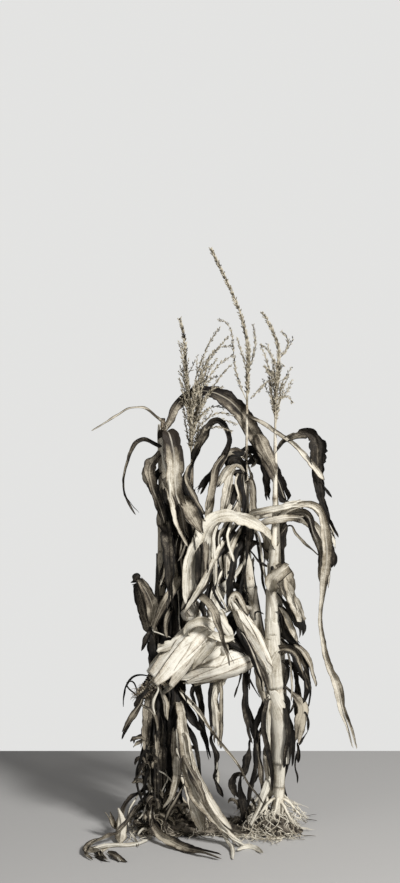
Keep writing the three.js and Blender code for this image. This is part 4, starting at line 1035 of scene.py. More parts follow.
# Beside and over the open ear: a stiff rolled leaf, loose husks and dark leaves
left_middle_strips = [
    ("tan", stalk_outer, [(153, 624, -48), (154, 606, -58), (147, 592, -62), (140, 578, -58)],
     [12, 38, 30, 10], [0.6, 0.1, 0.2, 0.5], dict(curl=12, crumple=4)),
    ("dark", "before", [(139, 577, -62), (136, 576, -64), (134, 581, -60)],
     [18, 18, 12], [0.9], dict(tip=0.5, curl=10)),
    ("tan", stalk_left, [(175, 585, -62), (169, 596, -76), (161, 612, -78), (152, 630, -66)],
     [24, 26, 20, 6], [0.4, 0.2, 0.3, 0.5], dict(skew=0.2, curl=15)),
    ("dark", stalk_left, [(167, 600, -30), (169, 620, -36), (166, 645, -38), (161, 668, -34)],
     [26, 36, 34, 16], [0.9]),
    ("dark", stalk_left, [(176, 598, -30), (175, 622, -34), (172, 650, -34)], [22, 28, 16], [0.9]),
    ("bright", stalk_left, [(178, 588, -40), (179, 605, -42), (179, 620, -42), (181, 634, -40)],
     [3, 5, 5, 4], [0.2]),
    ("tan", stalk_left, [(166, 616, -42), (165, 628, -46), (168, 638, -44)], [8, 16, 6], [0.4]),
    ("dark", stalk_outer, [(152, 626, -30), (154, 645, -40), (156, 665, -42), (151, 688, -36)],
     [16, 32, 30, 12], [0.9]),
    ("dark", stalk_outer, [(151, 629, -30), (147, 638, -38), (141, 651, -38)], [6, 18, 3], [0.9]),
    ("bright", stalk_outer, [(152, 630, -40), (158, 632, -44), (165, 636, -44), (171, 638, -42)],
     [3, 4, 4, 3], [0.3]),
    ("bright", "ear_open", [(190, 636, -78), (179, 641, -84), (168, 647, -86), (157, 650, -82)],
     [12, 24, 28, 26], [0.1], dict(tip=0.2, ragged=0.7, wander=6, skew=0.2)),
    ("dark", "ear_open", [(186, 641, -74), (176, 648, -78), (166, 657, -78), (160, 664, -72)],
     [8, 12, 12, 6], [0.9]),
    ("bright", stalk_left,
     [(202, 534, -62), (192, 548, -72), (187, 565, -76), (185, 585, -78), (186, 604, -78)],
     [12, 22, 22, 20, 12], [0.0, 0.1, 0.0]),
    ("bright", stalk_centre, [(211, 531, -58), (215, 550, -66), (216, 568, -68), (215, 586, -66)],
     [12, 16, 14, 8], [0.1]),
    ("tan", stalk_left, [(205, 540, -64), (206, 560, -74), (206, 577, -74)], [12, 18, 12], [0.3, 0.4, 0.7]),
    ("dark", stalk_centre, [(212, 562, -68), (202, 584, -78), (190, 604, -84), (184, 613, -86)],
     [10, 20, 24, 12], [0.8]),
    ("bright", stalk_centre, [(215, 556, -68), (205, 580, -84), (194, 598, -90), (183, 614, -90)],
     [8, 14, 16, 6], [0.1, 0.2, 0.1]),
    ("dark", stalk_centre, [(200, 604, -72), (205, 611, -76), (207, 622, -72)], [10, 20, 16], [0.9]),
    ("bright", "ear_open", [(186, 632, -88), (194, 625, -94), (205, 624, -94), (215, 631, -86)],
     [18, 32, 34, 20], [0.1, 0.0, 0.1], dict(curl=40, tip=0.5, wander=6)),
    ("bright", stalk_centre, [(212, 606, -50), (220, 617, -60), (228, 630, -62), (234, 641, -56)],
     [14, 34, 36, 14], [0.2, 0.0, 0.1]),
    ("bright", "ear_open", [(214, 642, -82), (206, 652, -86), (198, 662, -84), (192, 670, -78)],
     [20, 32, 30, 12], [0.0, 0.1, 0.2], dict(curl=15)),
    ("bright", "ear_low", [(224, 645, -70), (215, 649, -80), (206, 656, -80), (198, 664, -76)],
     [20, 32, 30, 10], [0.3, 0.0, 0.1], dict(curl=15)),
    ("bright", "ear_open", [(206, 634, -78), (217, 639, -80), (227, 641, -76), (235, 637, -68)],
     [16, 24, 20, 8], [0.0, 0.1, 0.3], dict(tip=1.0)),
    ("dark", stalk_centre, [(222, 634, -42), (231, 643, -48), (240, 650, -46), (247, 657, -42)],
     [20, 38, 34, 14], [0.9], dict(crumple=5)),
]
strips("strips_left_middle", left_middle_strips)
# Between the stalks above the ears: narrow straps, dark against pale
centre_middle_strips = [
    ("bright", stalk_centre, [(219, 530, -40), (219, 545, -44), (220, 560, -44), (223, 574, -40)],
     [8, 9, 9, 5], [0.1]),
    ("dark", stalk_centre, [(225, 528, -36), (225, 546, -38), (226, 566, -38)], [16, 18, 14], [0.9]),
    ("bright", stalk_centre, [(226, 530, -42), (229, 545, -46), (233, 562, -44)], [6, 8, 6], [0.2, 0.0]),
    ("pale", stalk_centre, [(226, 556, -44), (226, 567, -50), (226, 579, -46)], [14, 26, 6], [0.3, 0.1]),
    ("dark", stalk_centre, [(231, 564, -38), (231, 580, -40), (229, 596, -40), (226, 608, -36)],
     [14, 20, 18, 8], [0.9]),
    ("dark", stalk_centre, [(211, 582, -60), (216, 597, -66), (224, 609, -64)], [8, 10, 6], [0.8]),
    ("bright", stalk_centre, [(214, 584, -64), (220, 598, -70), (228, 611, -66)], [5, 6, 4], [0.2]),
    ("dark", stalk_centre, [(206, 588, -60), (207, 602, -64)], [8, 8], [0.8]),
    ("bright", stalk_centre, [(210, 586, -66), (211, 605, -70)], [6, 6], [0.1]),
    ("dark", stalk_centre, [(217, 582, -60), (225, 593, -62)], [5, 5], [0.9]),
    ("pale", stalk_centre, [(228, 607, -50), (234, 592, -58), (240, 596, -58), (249, 615, -50)],
     [9, 16, 16, 8], [0.3, 0.2, 0.5], dict(curl=10)),
    ("dark", "before", [(234, 598, -50), (235, 608, -48)], [10, 12], [0.9]),
    ("dark", stalk_centre, [(238, 598, -52), (244, 606, -50), (248, 618, -46)], [5, 8, 4], [0.9]),
    ("dark", stalk_centre,
     [(236, 628, -46), (246, 640, -58), (255, 660, -60), (263, 680, -52), (268, 694, -38)],
     [12, 18, 20, 18, 8], [0.6, 0.8, 0.4], dict(wander=6, skew=0.2)),
    ("pale", "before", [(242, 632, -58), (251, 648, -66), (259, 668, -64), (265, 686, -52)],
     [3, 5, 5, 3], [0.3]),
    ("dark", stalk_centre, [(228, 638, -40), (236, 642, -44), (246, 651, -40)], [18, 26, 14], [0.9]),
    ("dark", stalk_centre, [(256, 532, 20), (258, 552, 16), (262, 573, 12), (267, 596, 8)],
     [6, 7, 7, 4], [0.9]),
    ("bright", stalk_centre, [(259, 532, 16), (261, 550, 12), (265, 572, 8), (269, 592, 4)],
     [5, 6, 6, 4], [0.2]),
    ("tan", stalk_centre, [(264, 532, 24), (265, 548, 22), (266, 563, 22)], [18, 24, 14], [0.3, 0.2]),
    ("dark", stalk_centre, [(258, 560, 14), (262, 563, 8), (268, 567, 8)], [4, 9, 4], [0.9]),
    ("dark", stalk_centre, [(243, 530, 12), (243, 548, 8), (241, 565, 8)], [10, 13, 4], [0.8]),
    ("dark", stalk_centre, [(245, 560, 6), (245, 580, 2), (246, 603, 2)], [4, 5, 3], [0.7]),
    ("dark", stalk_centre, [(254, 613, -2), (258, 611, -6), (264, 615, -4)], [3, 5, 3], [0.9]),
]
strips("strips_centre_middle", centre_middle_strips)
# Round the right stalk and its ear: short torn leaves and their rolled ends
right_middle_strips = [
    ("dark", stalk_right, [(271, 574, -24), (272, 580, -28), (277, 584, -28)], [8, 12, 6], [0.9]),
    ("pale", stalk_right, [(284, 578, -22), (290, 592, -32), (296, 606, -38), (303, 621, -38)],
     [18, 30, 28, 20], [0.2, 0.1, 0.1], dict(tip=0.3, curl=10)),
    ("dark", stalk_right, [(288, 606, -24), (297, 618, -38), (303, 627, -42), (301, 637, -38)],
     [4, 22, 28, 8], [0.9], dict(curl=8)),
    ("pale", stalk_right, [(272, 580, -44), (278, 575, -50), (283, 571, -52), (289, 566, -48)],
     [24, 46, 46, 40], [0.5, 0.0, 0.1, 0.8], dict(curl=42, tip=0.2, wander=6)),
    ("bright", stalk_right, [(270, 694, -20), (268, 713, -26), (268, 738, -26), (272, 764, -20)],
     [16, 20, 18, 8], [0.4, 0.2, 0.4], dict(curl=30, wander=6)),
    ("pale", stalk_right, [(283, 611, -10), (288, 622, -22), (294, 632, -26), (298, 642, -26)],
     [8, 18, 18, 8], [0.3, 0.1]),
    ("dark", stalk_right, [(284, 620, -6), (288, 632, -14), (293, 640, -18), (300, 645, -18)],
     [10, 26, 26, 8], [0.9]),
    ("pale", stalk_right,
     [(286, 650, 0), (294, 645, -12), (304, 653, -18), (311, 668, -18), (317, 686, -14)],
     [10, 18, 16, 10, 6], [0.1, 0.1, 0.6, 0.3, 0.2]),
    ("dark", stalk_right, [(294, 652, -4), (297, 664, -12), (301, 674, -14), (306, 683, -12)],
     [10, 18, 12, 6], [0.9]),
    ("dark", stalk_right, [(303, 655, -10), (307, 672, -16), (308, 688, -16), (303, 703, -12)],
     [6, 12, 18, 6], [0.9]),
    ("dark", stalk_right, [(309, 657, -8), (313, 669, -12), (316, 681, -10)], [3, 7, 3], [0.9]),
    ("dark", stalk_right, [(311, 684, -4), (312, 696, -8), (310, 707, -6)], [3, 7, 3], [0.9]),
    ("tan", stalk_right, [(303, 701, -10), (305, 713, -22), (301, 728, -26), (297, 743, -22)],
     [6, 28, 34, 8], [1.0, 0.6, 0.0, 0.0], dict(curl=10)),
    ("dark", "before", [(306, 712, -20), (309, 722, -18), (308, 731, -18)], [6, 8, 4], [0.9]),
    ("dark", "before", [(306, 734, -20), (302, 739, -24), (298, 745, -22)], [3, 9, 5], [0.9]),
    ("dark", "before", [(297, 742, -20), (299, 751, -24), (297, 763, -20)], [8, 16, 5], [0.6, 1.0]),
    ("dark", "before",
     [(299, 750, -18), (295, 758, -16), (295, 767, -18), (299, 776, -16), (298, 783, -14)],
     [6, 5, 4, 6, 3], [0.9]),
    ("dark", stalk_right,
     [(284, 702, -6), (286, 716, -16), (290, 730, -20), (292, 746, -18), (290, 765, -14)],
     [8, 16, 20, 16, 6], [0.6, 0.7, 1.1, 1.0]),
    ("dark", stalk_right, [(288, 697, -4), (290, 706, -10), (290, 715, -10)], [8, 12, 3], [0.9]),
    ("dark", stalk_right, [(291, 712, -10), (293, 704, -12), (298, 701, -12)], [2, 5, 3], [0.8]),
    ("dark", stalk_right,
     [(287, 735, 5), (286, 750, -2), (287, 768, -4), (284, 784, -4), (287, 797, -2)],
     [8, 16, 12, 6, 4], [0.7]),
    ("pale", stalk_right, [(285, 640, 0), (289, 660, -12), (292, 680, -14), (292, 701, -12)],
     [4, 6, 6, 3], [0.3]),
    ("dark", stalk_right, [(289, 663, 0), (288, 676, -8), (284, 690, -8)], [6, 14, 5], [0.9]),
]
strips("strips_right_middle", right_middle_strips)
# Under the ears, down the centre stalk: twisted ends, each hung on the one before it
centre_low_strips = [
    ("dark", stalk_centre,
     [(245, 664, -14), (244, 688, -26), (243, 708, -30), (249, 726, -30), (253, 743, -26)],
     [12, 16, 18, 22, 8], [1.1, 1.1, 0.6, 0.8], dict(skew=0.3)),
    ("dark", "before", [(250, 739, -26), (249, 752, -34), (247, 765, -32), (241, 779, -28)],
     [8, 28, 22, 8], [0.8]),
    ("dark", "before",
     [(241, 775, -28), (239, 788, -34), (241, 800, -32), (244, 818, -26), (240, 832, -22)],
     [10, 28, 22, 18, 8], [0.9]),
    ("dark", stalk_centre,
     [(254, 741, -26), (256, 758, -30), (254, 775, -30), (250, 792, -28), (247, 808, -24)],
     [6, 10, 12, 14, 6], [0.9]),
    ("dark", "leaf_stick", [(236, 774, -44), (232, 785, -50), (237, 798, -46)],
     [14, 22, 8], [0.6], dict(ragged=0.8)),
    ("dark", stalk_centre, [(266, 703, -12), (261, 712, -24), (254, 725, -28), (255, 741, -26)],
     [10, 18, 16, 5], [1.0, 0.9]),
    ("tan", stalk_centre, [(258, 738, -22), (259, 758, -26), (261, 775, -26), (263, 793, -20)],
     [4, 8, 16, 6], [0.5, 0.7]),
    ("tan", stalk_centre, [(268, 741, -14), (264, 752, -22), (267, 765, -22), (271, 780, -18)],
     [10, 18, 16, 6], [0.2, 0.4, 0.8]),
    ("pale", stalk_centre, [(264, 754, -24), (266, 769, -26), (268, 787, -22)], [6, 12, 6], [0.2]),
    ("tan", stalk_centre, [(257, 664, -20), (260, 680, -30), (262, 694, -30), (266, 704, -26)],
     [12, 24, 20, 8], [0.1, 0.2, 0.3]),
    ("dark", stalk_centre, [(248, 664, -26), (252, 667, -28), (257, 665, -26)], [10, 22, 10], [0.9]),
    ("dark", stalk_centre, [(241, 667, -30), (240, 682, -36), (235, 698, -34)], [4, 6, 3], [0.9]),
    ("dark", stalk_centre, [(247, 670, -30), (252, 684, -36), (259, 698, -34)], [4, 6, 3], [0.9]),
    ("dark", stalk_centre, [(250, 668, -30), (250, 690, -34)], [4, 4], [0.8]),
    ("dark", stalk_centre, [(192, 688, -35), (195, 702, -42), (200, 715, -44), (206, 729, -40)],
     [8, 22, 12, 4], [0.9]),
    ("dark", stalk_centre,
     [(214, 668, -36), (213, 680, -42), (209, 700, -44), (211, 718, -44), (213, 738, -40)],
     [24, 34, 10, 10, 5], [0.9]),
    ("tan", stalk_centre, [(221, 672, -30), (221, 698, -36), (221, 724, -36), (221, 749, -32)],
     [6, 10, 11, 6], [0.4, 0.2, 0.4]),
    ("pale", stalk_centre, [(212, 690, -34), (216, 710, -38), (217, 730, -38), (217, 746, -34)],
     [10, 22, 24, 10], [0.1]),
    ("dark", "leaf_stick", [(210, 737, -42), (214, 750, -48), (216, 763, -48), (213, 779, -44)],
     [8, 18, 12, 8], [0.9]),
    ("bright", "before", [(217, 752, -44), (218, 772, -48), (216, 790, -46)], [4, 14, 4], [0.1]),
    ("dark", "before", [(213, 776, -46), (217, 786, -50), (223, 798, -46)], [8, 16, 4], [0.9]),
    ("bright", stalk_centre, [(269, 783, -34), (264, 797, -62), (258, 812, -86), (252, 827, -98)],
     [16, 24, 26, 22], [0.2, 0.0, 0.1, 0.4], dict(curl=75, fold=20, tip=0.3, wander=4)),
    ("dark", stalk_left, [(191, 717, -44), (196, 727, -48), (202, 733, -46)], [6, 26, 8], [0.9]),
    ("dark", stalk_left, [(193, 738, -44), (197, 748, -50), (198, 762, -50), (200, 780, -46)],
     [8, 14, 10, 5], [1.0, 0.6, 1.0]),
]
strips("strips_centre_low", centre_low_strips)
# From the open ear down to the feet of the outer and left stalks: shreds and split ends
left_low_strips = [
    ("dark", stalk_outer,
     [(160, 700, -40), (162, 720, -50), (160, 745, -54), (156, 770, -52), (150, 802, -46)],
     [18, 26, 24, 20, 12], [1.1, 0.8, 1.0]),
    ("dark", stalk_left,
     [(169, 698, -40), (171, 722, -50), (170, 748, -52), (167, 775, -50), (160, 802, -46)],
     [16, 24, 22, 24, 12], [1.1, 1.0, 0.8]),
    ("dark", stalk_left, [(178, 705, -36), (180, 730, -46), (178, 760, -48), (172, 790, -46)],
     [14, 22, 24, 12], [0.9]),
    ("pale", stalk_outer, [(167, 703, -58), (166, 711, -62), (168, 720, -58)], [8, 18, 8], [0.2]),
    ("dark", stalk_outer, [(152, 734, -52), (150, 758, -58), (145, 782, -56), (146, 802, -52)],
     [5, 8, 8, 5], [0.8]),
    ("dark", stalk_outer,
     [(151, 735, -52), (143, 752, -58), (138, 770, -58), (136, 786, -56), (142, 803, -50)],
     [4, 7, 8, 8, 5], [0.9]),
    ("tan", stalk_outer, [(157, 734, -58), (156, 752, -62), (154, 769, -60)], [6, 15, 6], [0.2]),
    ("dark", stalk_outer, [(163, 742, -58), (165, 760, -62), (162, 779, -58)], [6, 14, 6], [0.8]),
    ("tan", stalk_left, [(173, 733, -62), (174, 760, -66), (176, 784, -64), (171, 802, -58)],
     [8, 14, 12, 6], [0.2, 0.3]),
    ("bright", stalk_left, [(177, 738, -70), (180, 756, -74), (183, 776, -72)], [4, 7, 4], [0.1]),
    ("tan", stalk_outer, [(145, 706, -58), (146, 722, -66), (145, 738, -66), (142, 749, -62)],
     [14, 22, 20, 10], [0.5, 0.3, 0.3], dict(ragged=0.7, tip=0.4)),
    ("tan", "before", [(146, 737, -66), (140, 742, -66), (133, 747, -64)], [6, 12, 4], [0.4]),
    ("tan", "ear_open", [(143, 700, -92), (136, 712, -98), (129, 722, -98), (123, 734, -94)],
     [14, 20, 14, 3], [0.7, 0.3, 0.9]),
    ("tan", "ear_open", [(141, 706, -98), (149, 710, -100), (156, 718, -98), (158, 731, -90)],
     [8, 12, 12, 6], [0.5, 0.8, 0.6], dict(curl=70)),
    ("dark", "ear_open", [(147, 690, -112), (138, 698, -112), (134, 707, -106)],
     [8, 14, 8], [0.8], dict(ragged=0.8)),
    ("bright", "ear_open", [(160, 690, -116), (153, 702, -118), (156, 716, -110)], [6, 9, 3], [0.1]),
    ("dark", stalk_outer, [(126, 686, -32), (130, 681, -34), (135, 684, -34), (137, 693, -34)],
     [2, 4, 4, 3], [0.8]),
    ("pale", stalk_left, [(180, 768, -88), (177, 784, -96), (172, 797, -96), (165, 810, -90)],
     [10, 26, 22, 8], [0.2]),
    ("tan", "before", [(188, 778, -100), (178, 798, -108), (168, 812, -100), (163, 828, -84)],
     [4, 9, 9, 5], [0.5, 0.8]),
    ("pale", "leaf_lower_bright",
     [(186, 776, -96), (193, 795, -104), (199, 815, -106), (203, 834, -100)],
     [8, 30, 38, 12], [0.1, 0.2], dict(crumple=4)),
    ("pale", "leaf_lower_bright",
     [(187, 732, -96), (192, 757, -104), (202, 784, -112), (216, 810, -120), (232, 829, -124)],
     [8, 12, 16, 18, 8], [-0.3, 0.0, -0.2], dict(wander=6)),
    ("tan", "leaf_lower_bright",
     [(184, 757, -114), (190, 770, -120), (197, 786, -124), (205, 803, -126)],
     [12, 22, 18, 6], [0.3, 0.6, 0.5], dict(curl=10)),
    ("bright", stalk_outer, [(157, 770, -62), (164, 772, -66), (170, 778, -66), (176, 790, -62)],
     [3, 3, 3, 2], [0.2]),
    ("bright", stalk_outer, [(170, 776, -66), (164, 787, -68), (158, 798, -64)], [3, 4, 3], [0.2]),
    ("pale", stalk_outer, [(150, 776, -60), (151, 790, -64), (157, 802, -60)], [3, 5, 3], [0.2]),
]
strips("strips_left_low", left_low_strips)
# On the floor and just above it: pale ends that lie or trail there
floor_strips = [
    ("pale", None, [(118, 808, -66), (121, 818, -76), (122, 831, -84), (121, 844)],
     [6, 26, 34, 12], [0.1, 0.2], dict(crumple=4)),
    ("bright", stalk_outer, [(129, 806, -50), (129, 818, -56), (130, 829, -60)], [3, 5, 4], [0.2]),
    ("bright", stalk_outer, [(144, 808, -50), (144, 816, -54), (142, 824, -56)], [3, 6, 4], [0.2]),
    ("bright", stalk_outer, [(145, 814, -54), (139, 820, -58), (132, 828, -60)], [3, 5, 3], [0.2]),
    ("bright", stalk_outer, [(149, 828, -62), (142, 828, -66), (137, 835, -72)], [6, 9, 5], [0.1]),
    ("bright", None, [(130, 831, -70), (134, 838, -80), (139, 846)], [4, 7, 3], [0.1]),
    ("bright", None, [(148, 840), (135, 845), (120, 846), (104, 846), (90, 851)],
     [6, 14, 12, 14, 6], [0.0], dict(curl=50)),
    ("pale", None, [(96, 846), (88, 849), (86, 854), (92, 859)], [8, 14, 14, 6], [0.1, 0.5], dict(curl=70)),
    ("dark", None, [(93, 849), (98, 853), (98, 857), (106, 861)], [8, 22, 20, 6], [0.9]),
    ("tan", None, [(108, 852), (114, 855), (119, 858), (127, 861)], [8, 16, 16, 6], [0.6]),
    ("bright", None, [(222, 828, -112), (227, 840, -116), (233, 850), (234, 858)], [8, 11, 11, 5], [0.1]),
    ("bright", None, [(237, 850), (245, 846), (255, 847), (263, 853)], [6, 13, 11, 5], [0.0]),
    ("bright", None, [(210, 812, -108), (222, 828, -114), (233, 838, -118), (248, 846)],
     [5, 9, 9, 5], [0.1]),
    ("pale", None, [(110, 847), (101, 850), (100, 855), (108, 860)],
     [6, 18, 18, 6], [0.1, 0.6], dict(curl=60)),
    ("bright", None, [(120, 854), (116, 858), (122, 861)], [4, 12, 5], [0.1]),
    ("pale", stalk_outer, [(152, 818, -64), (157, 830, -84), (160, 838, -96)], [10, 20, 8], [0.2]),
]
strips("strips_floor", floor_strips)

# Leaves inside the bundle and at the back
# Dark and tan leaves that hang against their stalks by one rule, so the plant is as full from behind as
# from the front. Each pair that grew from one stretch of stalk shares the sheath that wraps it.
def hanging(at, heading, length, width, reach=0.16):
    """The values of a leaf that leaves its stalk at a height, bends over and hangs. reach is the share of
    its length that goes outwards."""
    widths = [share * width for share in (0.5, 0.9, 1, 0.8, 0.55, 0.25)]
    legs = [
        (length * reach * 1.1, 45, heading),
        (length * reach * 0.9, -14, heading, 8),
        (length * (0.5 - reach), -74, heading + 8, -6),
        (length * (0.5 - reach), -86, heading - 12, 10),
    ]
    return at, widths, 18, legs, [0.2, 0.1, 0.2, 0.3, 0.3], dict(crumple=3, ripple=5, ragged=0.4)


cluster("leaves_bundle_upper", "leaf_dark", stalk_outer, 712, 640, [
    hanging(700, -40, 270, 34), hanging(660, -80, 250, 36)])
cluster("leaves_bundle_lower", "leaf_dark", stalk_left, 480, 420, [
    hanging(470, -140, 200, 36), hanging(440, 160, 190, 30)])
cluster("leaves_back_outer", "leaf_dark", stalk_outer, 630, 560, [
    hanging(620, 82, 340, 28, 0.24), hanging(580, 50, 280, 34)])
cluster("leaves_back_left", "leaf_tan", stalk_left, 700, 620, [
    hanging(690, 112, 360, 40, 0.24), hanging(650, 65, 340, 38, 0.2)])
cluster("leaves_back_centre", "leaf_tan", stalk_centre, 540, 480, [
    hanging(530, 95, 350, 42, 0.22), hanging(500, 150, 300, 34)])
cluster("leaves_back_right", "leaf_dark", stalk_right, 640, 570, [
    hanging(630, 80, 360, 42, 0.24), hanging(600, 130, 290, 34)])
cluster("leaves_back_low", "leaf_dark", stalk_left, 250, 190, [
    hanging(240, 95, 230, 40), hanging(215, 150, 200, 30)])


FILLING_REACH = 0.08
FILLING_TONES = [0.2, 0.5, 0.3, 0.5]


def filling(name, stalk, low, high, count, heading, spread, length, width):
    """Dark leaves that hang close to a stretch of stalk, on the side that the heading gives."""
    bm = fresh()
    dice = Random(count)
    for number in range(count):
        at = low + (high - low) * number / (count - 1)
        turned = heading + spread * (number % 4 - 1.5)
        values = hanging(at, turned, length * dice.uniform(0.75, 1.2), width, FILLING_REACH)
        _, widths, fold, legs, _, shape = values
        grow(bm, "leaf_dark", stalk, at, widths, fold, legs, FILLING_TONES, shape)
    piece(bm, name, leaf_looks["leaf_dark"], "leaf_dark", BLADE_WALL)


filling("leaves_fill_outer", stalk_outer, 190, 720, count=13, heading=8, spread=34, length=210, width=40)
filling("leaves_fill_left", stalk_left, 210, 760, count=14, heading=200, spread=50, length=210, width=44)
filling("leaves_fill_centre", stalk_centre, 560, 700, count=4, heading=200, spread=50, length=150, width=30)

# Low on the outer stalk, three leaves reach down to the floor in front
cluster("leaves_floor", "leaf_tan", stalk_outer, 125, 85, [
    (100, [14, 18, 24, 26, 14], 25, [(60, -25, -160), (45, -65, -150), (40, -30, -120), (48, 75, -180, -60)],
     [0.7, 0.5, 0.1, 0.0], dict(wander=6)),
    (92, [12, 14, 16, 22, 26, 16], 25,
     [(70, -30, -130), (75, -33, -125), (60, -4, -160, 30), (45, -5, -100, 40), (40, 5, -40, 40)],
     [0.8, 0.6, 0.0, 0.3], dict(wander=6)),
    (90, [16, 22, 28, 28, 20, 8], 20,
     [(60, -40, -100), (60, -37, -60, 40), (60, -3, -45, 60), (110, -2, -35, 50)], [0.4, 0.5, 0.1, 0.5, 0.7],
     dict(wander=8, ripple=2, skew=0.3)),
])

# Torn side of the flag leaf
# Where the flag leaf comes down behind the right stalk, a strip has torn loose from its edge. It still
# hangs by the leaf and laps round the front of the cane.
strips("strips_over_stalk", [
    ("tan", "leaf_flag_arch", [(258, 434, 20), (264, 447, -10), (270, 461, -14), (277, 477, -12)],
     [28, 36, 32, 20, 8], [0.5, 0.3, 0.1, 0.3], dict(wander=4, curl=20, fold=5, skew=0.2)),
])

# Sheaths
# The bases of fallen leaves, dry and papery like the leaves themselves. They still wrap the canes between
# their rings, and stand off where they have split.
SHEATH_WALL = 0.9
SHEATH_SEED = 40
sheath_list = [
    ("sheath_right_low", "leaf_bright", stalk_right, 95, 225, 1.0, -60, [0.2, 0.05, 0.0]),
    ("sheath_right_fork", "leaf_bright", stalk_right, 150, 318, 5.0, -20, [0.1, 0.0, 0.05]),
    ("sheath_right_middle", "leaf_bright", stalk_right, 318, 470, 1.0, 60, [0.05, 0.0, 0.0]),
    ("sheath_right_upper", "leaf_bright", stalk_right, 430, 600, 1.5, -120, [0.1, 0.05, 0.1]),
    ("sheath_centre_low", "leaf_pale", stalk_centre, 60, 250, 1.0, -70, [0.2, 0.1, 0.3]),
    ("sheath_centre_middle", "leaf_pale", stalk_centre, 320, 520, 1.0, -40, [0.1, 0.2, 0.2]),
    ("sheath_centre_upper", "leaf_pale", stalk_centre, 540, 700, 1.2, -130, [0.0, 0.0, 0.05]),
    ("sheath_left_middle", "leaf_tan", stalk_left, 250, 420, 1.5, -60, [0.6, 0.6, 0.7]),
    ("sheath_left_upper", "leaf_tan", stalk_left, 560, 760, 1.5, -130, [0.6, 0.7, 0.8]),
    ("sheath_outer_middle", "leaf_dark", stalk_outer, 430, 620, 1.5, -100, [0.7, 0.5, 0.8]),
    ("sheath_outer_upper", "leaf_pale", stalk_outer, 720, 905, 1.8, -60, [0.6, 0.3, 0.0]),
]
for number, (name, look, stalk, bottom, top, clear, opening, tones) in enumerate(sheath_list):
    bm = fresh()
    sheath(bm, stalk, bottom, top, clear, opening, tones, SHEATH_SEED + number)
    piece(bm, name, leaf_looks[look], look, SHEATH_WALL)

# Root crown
# Where the clump was lifted, earth and matted roots hold its four feet together. Brace roots come down
# round each foot and fray into a mat of fine roots that lies on the floor.
ROOT_SEED = 20
FIBRE_SEED = 11
DRAW_FACTOR = 16807
DRAW_RANGE = 2147483647
BRACE_ROOT_TOP = (60, 78)
BRACE_ROOT_RADII = [3.6, 3.2, 2.4, 1.6]
FIBRE_LEGS = 4
FIBRE_RADII = (0.6, 1.3)
LOW_HEIGHT = 6
FIBRE_FLOOR = 1.5
root_finish = dried(
    "dry_root", (0.72, 0.67, 0.56), (0.36, 0.31, 0.23), (0.03, 0.024, 0.018), 0.7,
    across=500, run=12, relief=0.5)
earth_finish = dried(
    "rooty_earth", (0.22, 0.19, 0.15), (0.05, 0.041, 0.031), (0.008, 0.007, 0.005), 0.95,
    across=90, run=60, relief=4)
root_state = ROOT_SEED
root_pick = Random(FIBRE_SEED).uniform
brace_ends = []


def draw(low, high):
    """The same run of even draws that lays out the brace roots and the bushy tassel in the solid model."""
    global root_state
    root_state = root_state * DRAW_FACTOR % DRAW_RANGE
    return low + (high - low) * root_state / DRAW_RANGE


def brace_roots(bm, stalk, reach, count, shade):
    """Adds the thick roots that leave a stalk all round and slope down, and notes where each one frays."""
    for number in range(count):
        heading = 360 * (number + draw(-0.3, 0.3)) / count
        start = stalk.point(stalk.share_at(draw(*BRACE_ROOT_TOP)))
        out = reach * draw(0.75, 1.1)
        path = route(start, [
            (stalk.radii[0] + 12, -20, heading),
            (out * 0.6, -52, heading + draw(-12, 12)),
            (out * 0.5, -35, heading + draw(-25, 25)),
        ])
        limb(bm, path, BRACE_ROOT_RADII, 8, 20, shade, number, 0.5)
        brace_ends.append((path.point(0.8), heading, shade))


def fibre(bm, start, heading, length, shade):
    """Adds a fine root that sinks to the floor and then runs along it."""
    legs = []
    height = start.z
    for _ in range(FIBRE_LEGS):
        step = length * root_pick(0.18, 0.3)
        rise = -root_pick(10, 60) if height > LOW_HEIGHT else root_pick(-2, 4)
        heading += root_pick(-55, 55)
        drop = step * sin(radians(rise))
        if height + drop < FIBRE_FLOOR:
            rise, drop = 0, 0
        height += drop
        legs.append((step, rise, heading))
    thick = root_pick(*FIBRE_RADII)
    limb(bm, route(start, legs), [thick, thick * 0.8, thick * 0.4], 4, 10, shade + root_pick(-0.2, 0.3))


bm = fresh()
for stalk, reach, count, shade in (
    (stalk_right, 50, 7, 0.0), (stalk_centre, 46, 4, 0.1),
    (stalk_left, 56, 4, 0.6), (stalk_outer, 56, 4, 0.6),
):
    brace_roots(bm, stalk, reach, count, shade)

# Fine roots: first where the brace roots fray, then round the feet, in a tangle at the right foot, and in
# a flat mat under the whole clump
BRACE_FIBRES = 230
FOOT_FIBRES = 150
TANGLE_FIBRES = 300
TANGLE_MIDDLE = (84, -22)
TANGLE_RADIUS = 74
MAT_FIBRES = 420
MAT_X = (-215, 175)
MAT_Y = (-75, 55)
for number in range(BRACE_FIBRES):
    end, heading, shade = brace_ends[number % len(brace_ends)]
    start = end + Vector([root_pick(-14, 14), root_pick(-14, 14), root_pick(0, 12)])
    fibre(bm, start, heading + root_pick(-60, 60), root_pick(20, 42), shade)
for number in range(FOOT_FIBRES):
    foot_point = (stalk_right, stalk_right, stalk_centre, stalk_left, stalk_outer)[number % 5].point(0)
    angle = root_pick(0, 2 * pi)
    reach = root_pick(15, 38)
    start = foot_point + Vector((reach * cos(angle), reach * sin(angle), root_pick(5, 22)))
    fibre(bm, start, root_pick(0, 360), root_pick(30, 70), 0.1 if foot_point.x > 0 else 0.6)
